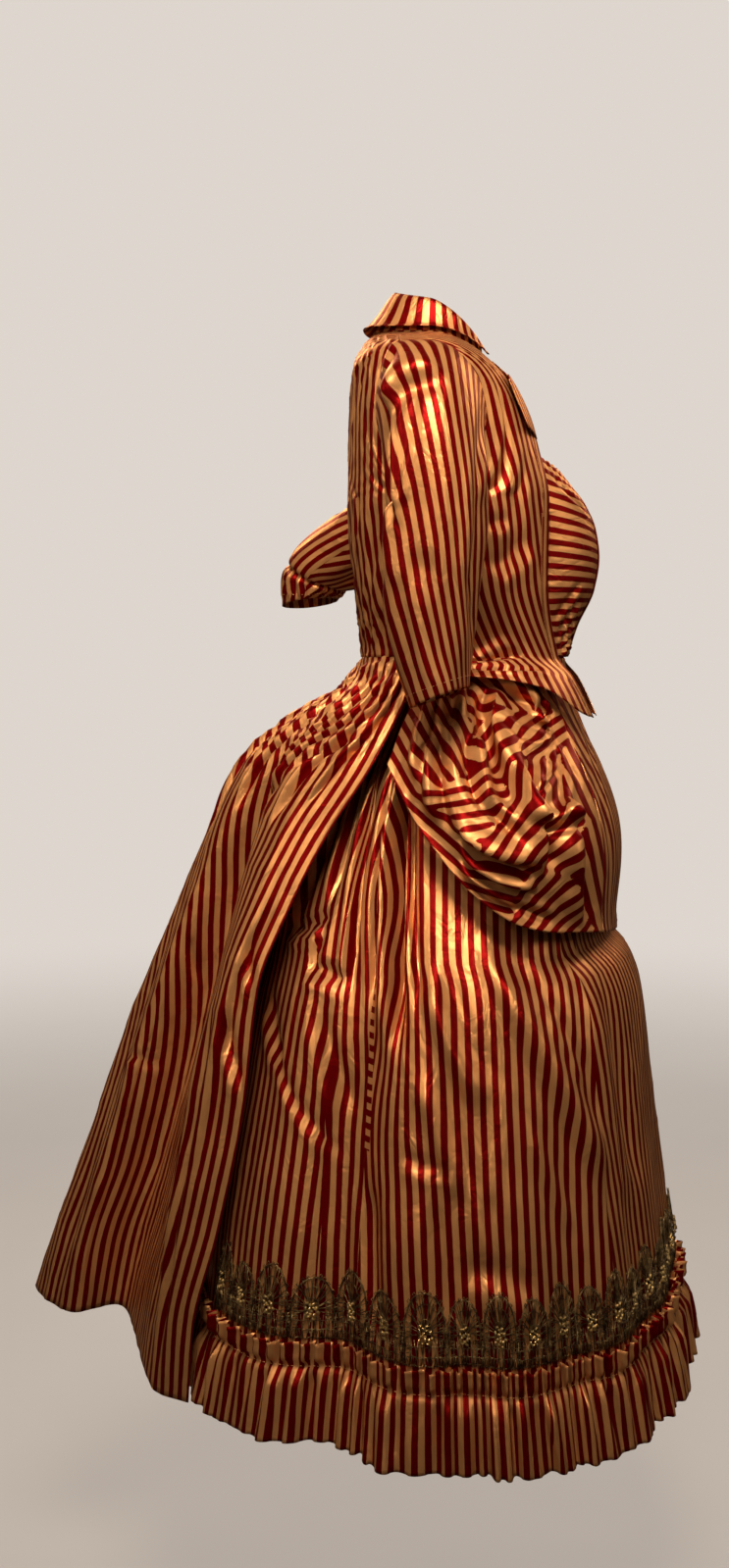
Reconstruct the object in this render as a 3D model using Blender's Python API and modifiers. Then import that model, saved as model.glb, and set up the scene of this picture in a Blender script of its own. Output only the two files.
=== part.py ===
"""Bustle dress in striped satin: shirred bodice, swagged side drapes, train, skirt with lace and flounce.

Metres, +Z up. The origin is the base of the neck between the shoulders, the front faces -Y, the wearer's
left is +X. Every piece of cloth is an open surface computed from short tables of sections, then thickened.
"""

import bpy
import numpy as np

CLOTH = 0.0016
LACE = 0.0012
SEAM = 0.0006
SQUARENESS = 0.12
TWIST_DEG = 5.0

# Levels of the bodice from the neck seam down, and the turn that the seams leave open, in degrees.
BUST_LEVEL = 1.55
WAIST_LEVEL = 4.0
BASQUE_LEVEL = 5.1
NECK_LEVELS = (0.0, 0.4, 0.8, 1.0, 1.15, 1.35)
WAIST_LEVELS = (BUST_LEVEL, 1.8, 2.0, 2.3, 2.6, 3.0, 3.4, 3.7, WAIST_LEVEL)
BASQUE_LEVELS = (4.4, 4.75, BASQUE_LEVEL)
SEAM_DEG = 0.2456
PLASTRON_GAP_DEG = 0.573

# Seam over the shoulder, round the armhole and down the side: angles from centre front at the neck,
# at the top of the armhole and under the arm, and how far the armhole cuts forward and back.
NECK_SEAM_DEG = 114.0
SHOULDER_SEAM_DEG = 107.0
SIDE_SEAM_DEG = 95.0
ARMHOLE_FRONT_DEG = 38.0
ARMHOLE_BACK_DEG = 20.0

# Body rings from the neck seam to the basque. level, half width, front y, back y, side y,
# and how far below the origin the ring lies in front, at the side and behind.
BODY = (
    (0.0, 0.056, -0.062, 0.078, 0.014, 0.045, -0.004, -0.010),
    (0.5, 0.106, -0.080, 0.091, 0.012, 0.066, 0.007, 0.010),
    (1.0, 0.152, -0.098, 0.099, 0.008, 0.094, 0.026, 0.038),
    (1.5, 0.159, -0.116, 0.103, 0.004, 0.135, 0.103, 0.110),
    (2.0, 0.157, -0.130, 0.103, 0.000, 0.178, 0.178, 0.178),
    (3.0, 0.145, -0.133, 0.095, -0.004, 0.270, 0.270, 0.270),
    (4.0, 0.122, -0.139, 0.088, -0.010, 0.345, 0.345, 0.345),
    (4.4, 0.147, -0.154, 0.100, -0.010, 0.368, 0.368, 0.368),
    (5.1, 0.190, -0.174, 0.130, -0.010, 0.416, 0.416, 0.416),
)

# Front edge of the bodice front: level, angle from centre front.
FRONT_EDGE = (
    (0.0, 45.0),
    (0.5, 31.0),
    (1.0, 25.0),
    (1.5, 27.5),
    (2.0, 29.0),
    (3.0, 29.0),
    (4.0, 22.0),
    (5.1, 11.0),
)

# Lower edge of the bodice front: angle from centre front, level.
BASQUE_HEM = ((0.0, 5.1), (22.0, 4.95), (45.0, 4.55), (70.0, 4.38), (100.0, 4.32))

# Plastron at centre front: level, distance below the origin, y.
PLASTRON = (
    (1.55, 0.150, -0.134),
    (1.80, 0.180, -0.157),
    (2.20, 0.206, -0.168),
    (2.50, 0.235, -0.172),
    (3.00, 0.270, -0.167),
    (3.50, 0.310, -0.149),
    (4.00, 0.3435, -0.1385),
)

# Collar round the neck: angle from centre front, height, lean of the fold towards the neck.
COLLAR = (
    (44.0, 0.009, 0.001),
    (57.0, 0.0185, 0.003),
    (75.0, 0.029, 0.006),
    (90.0, 0.036, 0.008),
    (130.0, 0.042, 0.020),
    (180.0, 0.046, 0.030),
)

# Lapel: place along it from the neck down, width in degrees round the body.
LAPEL = ((0.0, 2.5), (0.35, 8.0), (0.72, 22.0), (1.0, 13.0))

# Collar section: place along the cloth, step outwards, share of the height.
COLLAR_SECTION = (
    (0.00, 0.0000, 0.02),
    (0.25, -0.0005, 0.50),
    (0.45, 0.0000, 0.92),
    (0.52, 0.0024, 1.00),
    (0.60, 0.0050, 0.90),
    (0.78, 0.0078, 0.42),
    (0.92, 0.0112, 0.14),
    (1.00, 0.0140, 0.10),
)

# Sleeves: place along the sleeve, centre x, y, z, half sizes across and fore-and-aft, lean of the section.
SLEEVE_RIGHT = (
    (0.0, -0.2150, -0.021, -0.188, 0.0480, 0.0510, 0.0),
    (0.2, -0.2175, -0.020, -0.225, 0.0475, 0.0500, 0.0),
    (0.5, -0.2185, -0.017, -0.278, 0.0480, 0.0465, 5.0),
    (0.8, -0.2170, -0.020, -0.343, 0.0470, 0.0390, 14.0),
    (1.0, -0.2150, -0.0255, -0.386, 0.0450, 0.0310, 21.0),
)
SLEEVE_LEFT = (
    (0.0, 0.2190, 0.064, -0.158, 0.0500, 0.0540, 42.0),
    (0.25, 0.2400, 0.106, -0.180, 0.0490, 0.0530, 50.0),
    (0.55, 0.2680, 0.158, -0.208, 0.0470, 0.0500, 50.0),
    (0.80, 0.2880, 0.203, -0.236, 0.0450, 0.0430, 26.0),
    (1.00, 0.2980, 0.214, -0.272, 0.0430, 0.0360, -8.0),
)

# Overskirt in front of the side seams, from centre front back: place, angle at the waist,
# lower edge x, y and distance below the origin, swell of the cloth above it.
OVERSKIRT = (
    (0.00, 0.0, 0.000, -0.1970, 0.646, 0.030),
    (0.20, 22.0, 0.110, -0.1920, 0.634, 0.032),
    (0.27, 30.0, 0.150, -0.1870, 0.628, 0.038),
    (0.36, 38.0, 0.195, -0.1620, 0.622, 0.050),
    (0.45, 45.0, 0.225, -0.1360, 0.618, 0.060),
    (0.55, 53.0, 0.243, -0.1050, 0.608, 0.066),
    (0.66, 62.0, 0.248, -0.0620, 0.578, 0.062),
    (0.78, 73.0, 0.238, -0.0150, 0.525, 0.048),
    (0.88, 83.0, 0.214, 0.0100, 0.492, 0.028),
    (1.00, 93.0, 0.190, 0.0320, 0.455, 0.010),
)
FALL_ROWS = (0.0, 0.08, 0.16, 0.25, 0.34, 0.44, 0.55, 0.66, 0.77, 0.86, 0.94, 1.0)
DRAPE_SEAM = 0.27
KNOT_PLACE = 0.345
KNOT_DROP = 0.30
KNOT_SIZE = (0.46, 0.27)

# Train: distance below the origin, then x and y of its front edge, side swell, side crest,
# valley and back shoulder, and y of centre back.
TRAIN = (
    (0.3456, 0.1206, 0.009, 0.117, 0.026, 0.110, 0.041, 0.0914, 0.0634, 0.0566, 0.0807, 0.088),
    (0.378, 0.134, 0.016, 0.133, 0.036, 0.124, 0.054, 0.100, 0.079, 0.062, 0.100, 0.113),
    (0.412, 0.158, 0.028, 0.158, 0.056, 0.144, 0.084, 0.114, 0.112, 0.074, 0.142, 0.170),
    (0.460, 0.186, 0.050, 0.178, 0.102, 0.142, 0.150, 0.106, 0.160, 0.076, 0.198, 0.232),
    (0.525, 0.204, 0.090, 0.192, 0.142, 0.146, 0.178, 0.098, 0.186, 0.083, 0.236, 0.260),
    (0.600, 0.224, 0.126, 0.208, 0.172, 0.152, 0.198, 0.086, 0.210, 0.088, 0.262, 0.294),
    (0.680, 0.242, 0.155, 0.222, 0.198, 0.158, 0.218, 0.078, 0.236, 0.090, 0.292, 0.330),
    (0.800, 0.252, 0.168, 0.232, 0.222, 0.166, 0.247, 0.068, 0.278, 0.090, 0.334, 0.377),
    (0.930, 0.254, 0.195, 0.232, 0.246, 0.174, 0.267, 0.060, 0.320, 0.088, 0.374, 0.426),
    (1.040, 0.246, 0.225, 0.224, 0.262, 0.180, 0.289, 0.054, 0.352, 0.087, 0.404, 0.468),
    (1.125, 0.240, 0.233, 0.217, 0.272, 0.184, 0.300, 0.052, 0.372, 0.086, 0.424, 0.497),
)
TRAIN_HEM = ((0, 1.119), (1, 1.121), (2, 1.110), (3, 1.096), (4, 1.094), (5, 1.097))

# Skirt rings: distance below the origin, half width, front y, back y, side y.
SKIRT = (
    (0.347, 0.1168, -0.1340, 0.076, -0.010),
    (0.420, 0.130, -0.142, 0.104, -0.015),
    (0.500, 0.170, -0.160, 0.140, -0.020),
    (0.580, 0.208, -0.173, 0.168, -0.022),
    (0.646, 0.242, -0.184, 0.185, -0.025),
    (0.672, 0.256, -0.209, 0.190, -0.026),
    (0.705, 0.272, -0.222, 0.198, -0.027),
    (0.815, 0.303, -0.237, 0.220, -0.032),
    (0.926, 0.330, -0.252, 0.242, -0.038),
    (1.030, 0.342, -0.265, 0.256, -0.042),
    (1.120, 0.352, -0.277, 0.268, -0.045),
)
SKIRT_HEM = 1.052
SKIRT_ROWS = (0.347, 0.44, 0.54, 0.645, 0.672, 0.705, 0.82, 0.935, SKIRT_HEM)

# Folds of the skirt: angle from centre front (the wearer's right is minus), half width in degrees,
# depth at the hem, distance below the origin where it opens and where it is full.
SKIRT_FOLDS = (
    (-110.0, 9.0, 0.040, 0.46, 0.93),
    (-84.0, 7.0, 0.012, 0.62, 0.93),
    (-58.0, 8.0, 0.012, 0.66, 0.93),
    (-33.0, 7.0, 0.009, 0.66, 0.93),
    (-8.0, 8.0, 0.007, 0.70, 0.93),
    (18.0, 8.0, 0.010, 0.66, 0.93),
    (45.0, 8.0, 0.012, 0.66, 0.93),
    (74.0, 8.0, 0.014, 0.62, 0.93),
    (106.0, 9.0, 0.036, 0.46, 0.93),
)

# Flounce: share of its drop, distance below the origin, lift off the skirt, depth of the gathers.
FLOUNCE = (
    (0.00, 1.0215, 0.0072, 0.0026),
    (0.14, 1.0360, 0.0024, 0.0004),
    (0.45, 1.0640, 0.0100, 0.0042),
    (1.00, 1.1170, 0.0140, 0.0078),
)
GATHERS = 66

LACE_REPEATS = 24
LACE_REACH_DEG = 144.0
LACE_FOOT = 1.0203
LACE_HEIGHT = 0.062
LACE_SCALLOP = 0.011
LACE_STEP = 0.004
LACE_LIFT = 0.0022

SATIN = (0.42, 0.12, 0.035)
LACE_GOLD = (0.110, 0.068, 0.026)


def through(rows, at):
    """Smooth curve through the rows of a table without overshoot, looked up by its first column."""
    data = np.array(rows, float)
    places = data[:, 0]
    values = data[:, 1:]
    steps = np.diff(places)[:, None]
    slopes = np.diff(values, axis=0) / steps
    product = slopes[1:] * slopes[:-1]
    total = np.where(np.abs(slopes[1:] + slopes[:-1]) < 1e-12, 1.0, slopes[1:] + slopes[:-1])
    inner = np.where(product > 0, 2 * product / total, 0.0)
    ends = np.concatenate([slopes[:1], inner, slopes[-1:]])
    at = np.asarray(at, float)
    index = np.clip(np.searchsorted(places, at, side="right") - 1, 0, len(places) - 2)
    width = steps[index, 0]
    part = np.clip((at - places[index]) / width, 0.0, 1.0)[..., None]
    width = width[..., None]
    found = values[index] * (2 * part**3 - 3 * part**2 + 1)
    found = found + ends[index] * width * (part**3 - 2 * part**2 + part)
    found = found + values[index + 1] * (3 * part**2 - 2 * part**3)
    found = found + ends[index + 1] * width * (part**3 - part**2)
    return tuple(found[..., k] for k in range(found.shape[-1]))


def ramp(at, low, high):
    """Soft step from 0 at low to 1 at high."""
    part = np.clip((at - low) / (high - low), 0.0, 1.0)
    return part * part * (3 - 2 * part)


def points(x, y, z):
    """One array of points from three arrays of coordinates."""
    return np.stack(np.broadcast_arrays(x, y, z), axis=-1)


def unit(vectors):
    """Vectors at length one."""
    return vectors / np.maximum(np.linalg.norm(vectors, axis=-1, keepdims=True), 1e-12)


def ring(half, front, back, side, turn):
    """Plan of a squarish oval: x and y at an angle from centre front."""
    c = np.cos(turn)
    s = np.sin(turn)
    depth = np.where(c > 0, side - front, back - side)
    x = half * s * (1 + SQUARENESS * c * c)
    y = side - depth * c * (1 + SQUARENESS * s * s)
    return x, y


def lifted(grid, distance, closed=False):
    """Grid of points moved along its own outward normals."""
    if closed:
        across = np.roll(grid, -1, axis=1) - np.roll(grid, 1, axis=1)
    else:
        across = np.gradient(grid, axis=1)
    down = np.gradient(grid, axis=0)
    normal = unit(np.cross(down, across))
    centre = grid.mean(axis=(0, 1))
    outward = np.sum(normal * (grid - centre), axis=(0, 1, 2))
    return grid + normal * np.sign(outward) * np.asarray(distance)[..., None]


def body(turn_deg, level):
    """Bodice surface: rings that tilt at the neck and turn a little towards the right shoulder's lead."""
    turn = np.radians(turn_deg)
    half, front, back, side, low_front, low_side, low_back = through(BODY, level)
    x, y = ring(half, front, back, side, turn)
    c = np.cos(turn)
    drop = low_side + (np.where(c > 0, low_front, low_back) - low_side) * c * c
    twist = np.radians(TWIST_DEG) * ramp(WAIST_LEVEL - level, 0.0, 3.0)
    return points(x * np.cos(twist) - y * np.sin(twist), x * np.sin(twist) + y * np.cos(twist), -drop)


def armhole(level, edge):
    """Angle of the front (edge -1) or back (edge +1) side of the seam from the neck over the armhole down."""
    q = np.clip(level - 1.0, 0.0, 1.0)
    seam = NECK_SEAM_DEG + (SHOULDER_SEAM_DEG - NECK_SEAM_DEG) * np.clip(level, 0, 1)
    seam = seam + (SIDE_SEAM_DEG - SHOULDER_SEAM_DEG) * q
    front = -ARMHOLE_FRONT_DEG * np.clip(np.sin(np.pi * q**0.6), 0, 1) ** 0.6
    back = ARMHOLE_BACK_DEG * np.clip(np.sin(np.pi * q), 0, 1) ** 0.8
    return seam + np.where(edge < 0, front, back)


def bodice_front(u, v, side):
    """Front of one side: seams at u 0, front edge at u 1, shoulder at v 0, lower edge at v 1."""
    top = BASQUE_LEVEL * v
    back_turn = armhole(top, -1) - SEAM_DEG
    front_turn = through(FRONT_EDGE, top)[0]
    turn = back_turn + (front_turn - back_turn) * u
    low = through(BASQUE_HEM, turn)[0]
    below = (top - WAIST_LEVEL) * (low - WAIST_LEVEL) / (BASQUE_LEVEL - WAIST_LEVEL)
    level = np.where(top > WAIST_LEVEL, WAIST_LEVEL + below, top)
    return body(side * turn, level)


def bodice_back(u, v):
    """Back from the right side seam at u 0 round to the left one at u 1, neck at v 0, waist at v 1."""
    level = WAIST_LEVEL * v
    reach = 180.0 - armhole(level, 1) - SEAM_DEG
    return body(180.0 + reach * (1 - 2 * u), level)


def plastron(u, v, side):
    """Gathered bust front of one side: bodice edge at u 0, centre front at u 1, swelling forwards."""
    level = BUST_LEVEL + (WAIST_LEVEL - BUST_LEVEL) * v
    edge_turn = through(FRONT_EDGE, level)[0] - PLASTRON_GAP_DEG
    edge = body(side * edge_turn, level)
    down, middle_y = through(PLASTRON, level)
    near = 1 - u
    x = edge[..., 0] * near + side * SEAM / 2 * u
    y = middle_y + (edge[..., 1] - middle_y) * near**2.3
    z = -down + (edge[..., 2] + down) * near**1.5
    return points(x, y, z)


def front_band(u, v):
    """Closing band laid on the plastron: its points near centre front, moved out."""
    offset = (u - 0.5) * 0.014
    down, middle_y = through(PLASTRON, BUST_LEVEL + (WAIST_LEVEL - BUST_LEVEL) * v)
    slope = np.gradient(middle_y, axis=0) / np.gradient(down, axis=0)
    size = np.hypot(1.0, slope)
    lift = CLOTH + 0.0012
    return points(offset, middle_y + 0.1 * np.abs(offset) - lift / size, -down - lift * slope / size)


def collar(u, v):
    """Stand collar folded over outwards: front right end at u 0, round the back, front left end at u 1."""
    angle = 44.0 + 272.0 * u
    turn = np.where(angle > 180.0, 360.0 - angle, angle)
    seam = body(-angle, np.zeros_like(u))
    height, lean = through(COLLAR, turn)
    step, share = through(COLLAR_SECTION, v)
    centre = np.array([0.0, 0.010, 0.0])
    out = unit((seam - centre) * np.array([1.0, 1.0, 0.0]))
    spread = step * (0.7 + 0.3 * ramp(turn, 44.0, 110.0)) - lean * share
    return seam + out * spread[..., None] + points(0 * u, 0 * u, height * share + CLOTH * 0.9)


def lapel(u, v, side):
    """Pointed wing along the open neck: neck end at u 0, lower end at u 1, bodice edge at v 0."""
    level = 0.22 + 1.16 * u
    turn = through(FRONT_EDGE, level)[0] + 1.0 + through(LAPEL, u)[0] * v
    stand = np.where(side < 0, 0.0035, 0.020) * v * (0.3 + 0.7 * u)
    return lifted(body(side * turn, level), CLOTH + 0.0006 + stand)


def sleeve_ring(rows, s, phi, side):
    """Oval sections of a sleeve along its centre line."""
    x, y, z, across, deep, lean = through(rows, s)
    if side < 0:
        lean = np.radians(lean)
        first = points(np.ones_like(lean), 0 * lean, 0 * lean)
        second = points(0 * lean, np.cos(lean), -np.sin(lean))
    else:
        lean = np.radians(lean)
        heading = unit(points(0.55 * np.sin(lean), np.sin(lean), -np.cos(lean)))
        first = unit(np.array([1.0, 0.0, 0.0]) - heading[..., :1] * heading)
        second = -np.cross(heading, first)
    reach = (np.cos(phi) * across)[..., None] * first * side + (np.sin(phi) * deep)[..., None] * second
    return points(x, y, z) + reach


def armhole_ring(phi, side):
    """Armhole seam: outer top at phi 0, back at a quarter turn, bottom at half, front at three quarters."""
    part = np.mod(phi / (2 * np.pi) - 0.06, 1.0)
    behind = part < 0.5
    q = np.where(behind, part * 2, 2 - part * 2)
    level = 1.0 + 0.5 * (1 - np.cos(np.pi * q))
    turn = np.where(behind, armhole(level, 1), armhole(level, -1))
    here = body(side * turn, level)
    ahead = body(side * (turn + 1.0), level)
    below = body(side * turn, level + 0.02)
    normal = unit(np.cross(below - here, ahead - here))
    facing = np.sign(np.sum(normal * np.array([side, 0.0, 0.0]), axis=-1, keepdims=True))
    return here + normal * facing * (CLOTH + 0.0003)


def sleeve(u, v, side):
    """Sleeve with its cap: round the arm by u, from the armhole at v 0 to the hem at v 1."""
    rows = np.where(side < 0, SLEEVE_RIGHT, SLEEVE_LEFT)
    phi = 2 * np.pi * u
    cap = 0.30
    start = armhole_ring(phi, side)
    stop = sleeve_ring(rows, np.zeros_like(u), phi, side)
    after = sleeve_ring(rows, np.full_like(u, 0.05), phi, side)
    length = np.linalg.norm(stop - start, axis=-1, keepdims=True)
    leave = np.array([side * 1.0, 0.0, 0.10]) * length * (0.80 + 0.45 * np.cos(phi))[..., None]
    arrive = unit(after - stop) * length * 1.0
    t = np.clip(v / cap, 0.0, 1.0)[..., None]
    blend = start * (2 * t**3 - 3 * t**2 + 1) + leave * (t**3 - 2 * t**2 + t)
    blend = blend + stop * (3 * t**2 - 2 * t**3) + arrive * (t**3 - t**2)
    along = sleeve_ring(rows, np.clip((v - cap) / (1 - cap), 0.0, 1.0), phi, side)
    return np.where((v < cap)[..., None], blend, along)


def overskirt(place, v):
    """Front of the overskirt: place -1 and 1 at the side seams, 0 at centre front, waist at v 0, edge at v 1."""
    side = np.sign(place) + (place == 0)
    turn, x, y, down, swell = through(OVERSKIRT, np.abs(place))
    top = body(side * turn, WAIST_LEVEL + 0.02 + 0 * v)
    inward = unit((top - np.array([0.0, -0.02, 0.0])) * np.array([1.0, 1.0, 0.0]))
    top = top - inward * (CLOTH + 0.0013)
    foot = points(side * x, y, -down)
    out = unit(foot * np.array([1.0, 1.0, 0.0]) - np.array([0.0, -0.045, 0.0]))
    rise = np.sin(np.pi * v**1.3) ** 1.5
    share = points(v**1.3, v**1.3, v)
    base = top + (foot - top) * share + out * (swell * rise)[..., None]
    metric_u = (np.abs(place) - KNOT_PLACE) * KNOT_SIZE[0]
    metric_v = (v - KNOT_DROP) * KNOT_SIZE[1]
    away = np.hypot(metric_u, metric_v)
    angle = np.arctan2(metric_v, metric_u)
    fan = np.cos(9.0 * angle + 0.6 * np.sin(2 * angle)) * (away / 0.045) * np.exp(1 - away / 0.045)
    fan = fan * ramp(metric_u, -0.020, 0.040) * ramp(v, 0.02, 0.14)
    fan = fan * ramp(1 - v, 0.0, 0.12) * ramp(1 - np.abs(place), 0, 0.2)
    pinch = np.exp(-((away / 0.022) ** 2)) * ramp(v, 0.02, 0.14)
    hollow = np.exp(-(((np.abs(place) - 0.70 + 0.10 * v) / 0.055) ** 2))
    hollow = hollow * ramp(v, 0.10, 0.35) * ramp(1 - v, 0.25, 0.6)
    return base + out * (0.0075 * fan - 0.012 * pinch - 0.018 * hollow)[..., None]


def train(place, v):
    """Back overskirt: place -5 and 5 at its front edges, 0 at centre back; waist at v 0, hem at v 1."""
    rib = 5.0 - np.abs(place)
    side = np.where(place < 0, -1.0, 1.0)
    hem = through(TRAIN_HEM, rib)[0]
    first = TRAIN[0][0] + SEAM
    columns = through(TRAIN, first + (hem - first) * v)
    xs = np.stack([columns[0], columns[2], columns[4], columns[6], columns[8], 0 * columns[10], -columns[8]])
    ys = np.stack([columns[1], columns[3], columns[5], columns[7], columns[9], columns[10], columns[9]])
    k = np.clip(np.floor(rib).astype(int), 0, 4)
    t = rib - k

    def across(values):
        def pick(n):
            return np.take_along_axis(values, np.clip(n, 0, 6)[None], axis=0)[0]

        p0 = np.where(k == 0, 2 * pick(k) - pick(k + 1), pick(k - 1))
        p1 = pick(k)
        p2 = pick(k + 1)
        p3 = pick(k + 2)
        square = (2 * p0 - 5 * p1 + 4 * p2 - p3) * t**2
        cube = (3 * p1 - p0 - 3 * p2 + p3) * t**3
        return 0.5 * (2 * p1 + (p2 - p0) * t + square + cube)

    return points(side * across(xs), across(ys), -(first + (hem - first) * v))


def skirt(turn_deg, down):
    """Skirt surface with its folds, by angle from centre front and distance below the origin."""
    half, front, back, side = through(SKIRT, down)
    turn = np.radians(turn_deg)
    x, y = ring(half, front, back, side, turn)
    out = unit(points(x, y - side, 0 * x))
    sink = 0 * x
    for centre, width, depth, opens, full in SKIRT_FOLDS:
        gap = np.mod(turn_deg - centre + 180.0, 360.0) - 180.0
        sink = sink + depth * np.exp(-((gap / width) ** 2)) * ramp(down, opens, full)
    return points(x, y, -down) - out * sink[..., None]


def skirt_columns():
    """Angles of the skirt's columns from centre back, closer together at the two deep folds."""
    even = np.arange(-180.0, 180.0, 6.0)
    close = np.concatenate([np.arange(-129.0, -90.0, 6.0), np.arange(87.0, 128.0, 6.0)])
    return np.sort(np.concatenate([even, close]))


def skirt_panel(turn_deg, down):
    """Skirt surface made straight between its columns and rows, which keeps what lies on it at an even distance."""
    columns = np.append(skirt_columns(), 180.0)
    rows = np.array(SKIRT_ROWS)
    turn = np.mod(turn_deg + 180.0, 360.0) - 180.0
    column = np.clip(np.searchsorted(columns, turn, side="right") - 1, 0, len(columns) - 2)
    row = np.clip(np.searchsorted(rows, down, side="right") - 1, 0, len(rows) - 2)
    across = ((turn - columns[column]) / (columns[column + 1] - columns[column]))[..., None]
    along = ((down - rows[row]) / (rows[row + 1] - rows[row]))[..., None]
    left = skirt(columns[column], rows[row]) * (1 - along) + skirt(columns[column], rows[row + 1]) * along
    right = skirt(columns[column + 1], rows[row]) * (1 - along)
    right = right + skirt(columns[column + 1], rows[row + 1]) * along
    return left * (1 - across) + right * across


def gather_turn(phase):
    """Angle of a place along the flounce, with uneven spacing of its gathers."""
    share = phase / GATHERS
    uneven = 0.0030 * np.sin(2 * np.pi * 5 * share) + 0.0018 * np.sin(2 * np.pi * 13 * share)
    return 180.0 - 360.0 * (share + uneven)


def flounce(phase, v):
    """Gathered flounce all round: phase counts the gathers, small upright heading above the gather line."""
    turn = gather_turn(phase)
    down, lift, deep = through(FLOUNCE, v)
    size = 0.72 + 0.28 * np.sin(phase * 2.399) * np.cos(phase * 0.9)
    grid = skirt_panel(turn, down)
    return lifted(grid, lift + deep * size * np.cos(2 * np.pi * phase), closed=True)


def lace_band(repeat, v):
    """Lace on the skirt: repeat counts its shell motifs, straight foot at v 0, scalloped top at v 1."""
    turn = -LACE_REACH_DEG + 2 * LACE_REACH_DEG * repeat / LACE_REPEATS
    whole = np.floor(repeat + 1e-9)
    arch = np.abs(np.sin(np.pi * repeat))
    tall = LACE_HEIGHT + LACE_SCALLOP * arch - LACE_STEP * np.mod(whole, 2)
    return lifted(skirt_panel(turn, LACE_FOOT - tall * v), LACE_LIFT + 0 * v)


def clear():
    """Empty the scene of objects."""
    for thing in list(bpy.data.objects):
        bpy.data.objects.remove(thing, do_unlink=True)


def material(name, colour, roughness, metallic):
    """One plain surface colour."""
    made = bpy.data.materials.new(name)
    made.use_nodes = True
    shader = made.node_tree.nodes["Principled BSDF"]
    shader.inputs["Base Color"].default_value = (*colour, 1.0)
    shader.inputs["Roughness"].default_value = roughness
    shader.inputs["Metallic"].default_value = metallic
    return made


def cloth(name, grid, look, home, thickness=CLOTH, closed=False, holes=()):
    """Object from a grid of points: quads between neighbours, less the holes, thickened both ways."""
    count_v, count_u = grid.shape[:2]
    last = count_u if closed else count_u - 1
    faces = []
    for row in range(count_v - 1):
        for column in range(last):
            if (row, column) in holes:
                continue
            beside = (column + 1) % count_u
            low = row * count_u
            high = low + count_u
            faces.append((low + column, low + beside, high + beside, high + column))
    mesh = bpy.data.meshes.new(name)
    mesh.from_pydata(grid.reshape(-1, 3).tolist(), [], faces)
    mesh.validate()
    for face in mesh.polygons:
        face.use_smooth = True
    thing = bpy.data.objects.new(name, mesh)
    home.objects.link(thing)
    mesh.materials.append(look)
    solid = thing.modifiers.new("thickness", "SOLIDIFY")
    solid.thickness = thickness
    solid.offset = 0.0
    return thing


def grid_of(across, down):
    """Two arrays of parameters, rows down and columns across."""
    return np.meshgrid(np.asarray(across, float), np.asarray(down, float))


def spread(count, first=0.0, last=1.0):
    """Evenly spaced parameters."""
    return np.linspace(first, last, count + 1)


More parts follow.
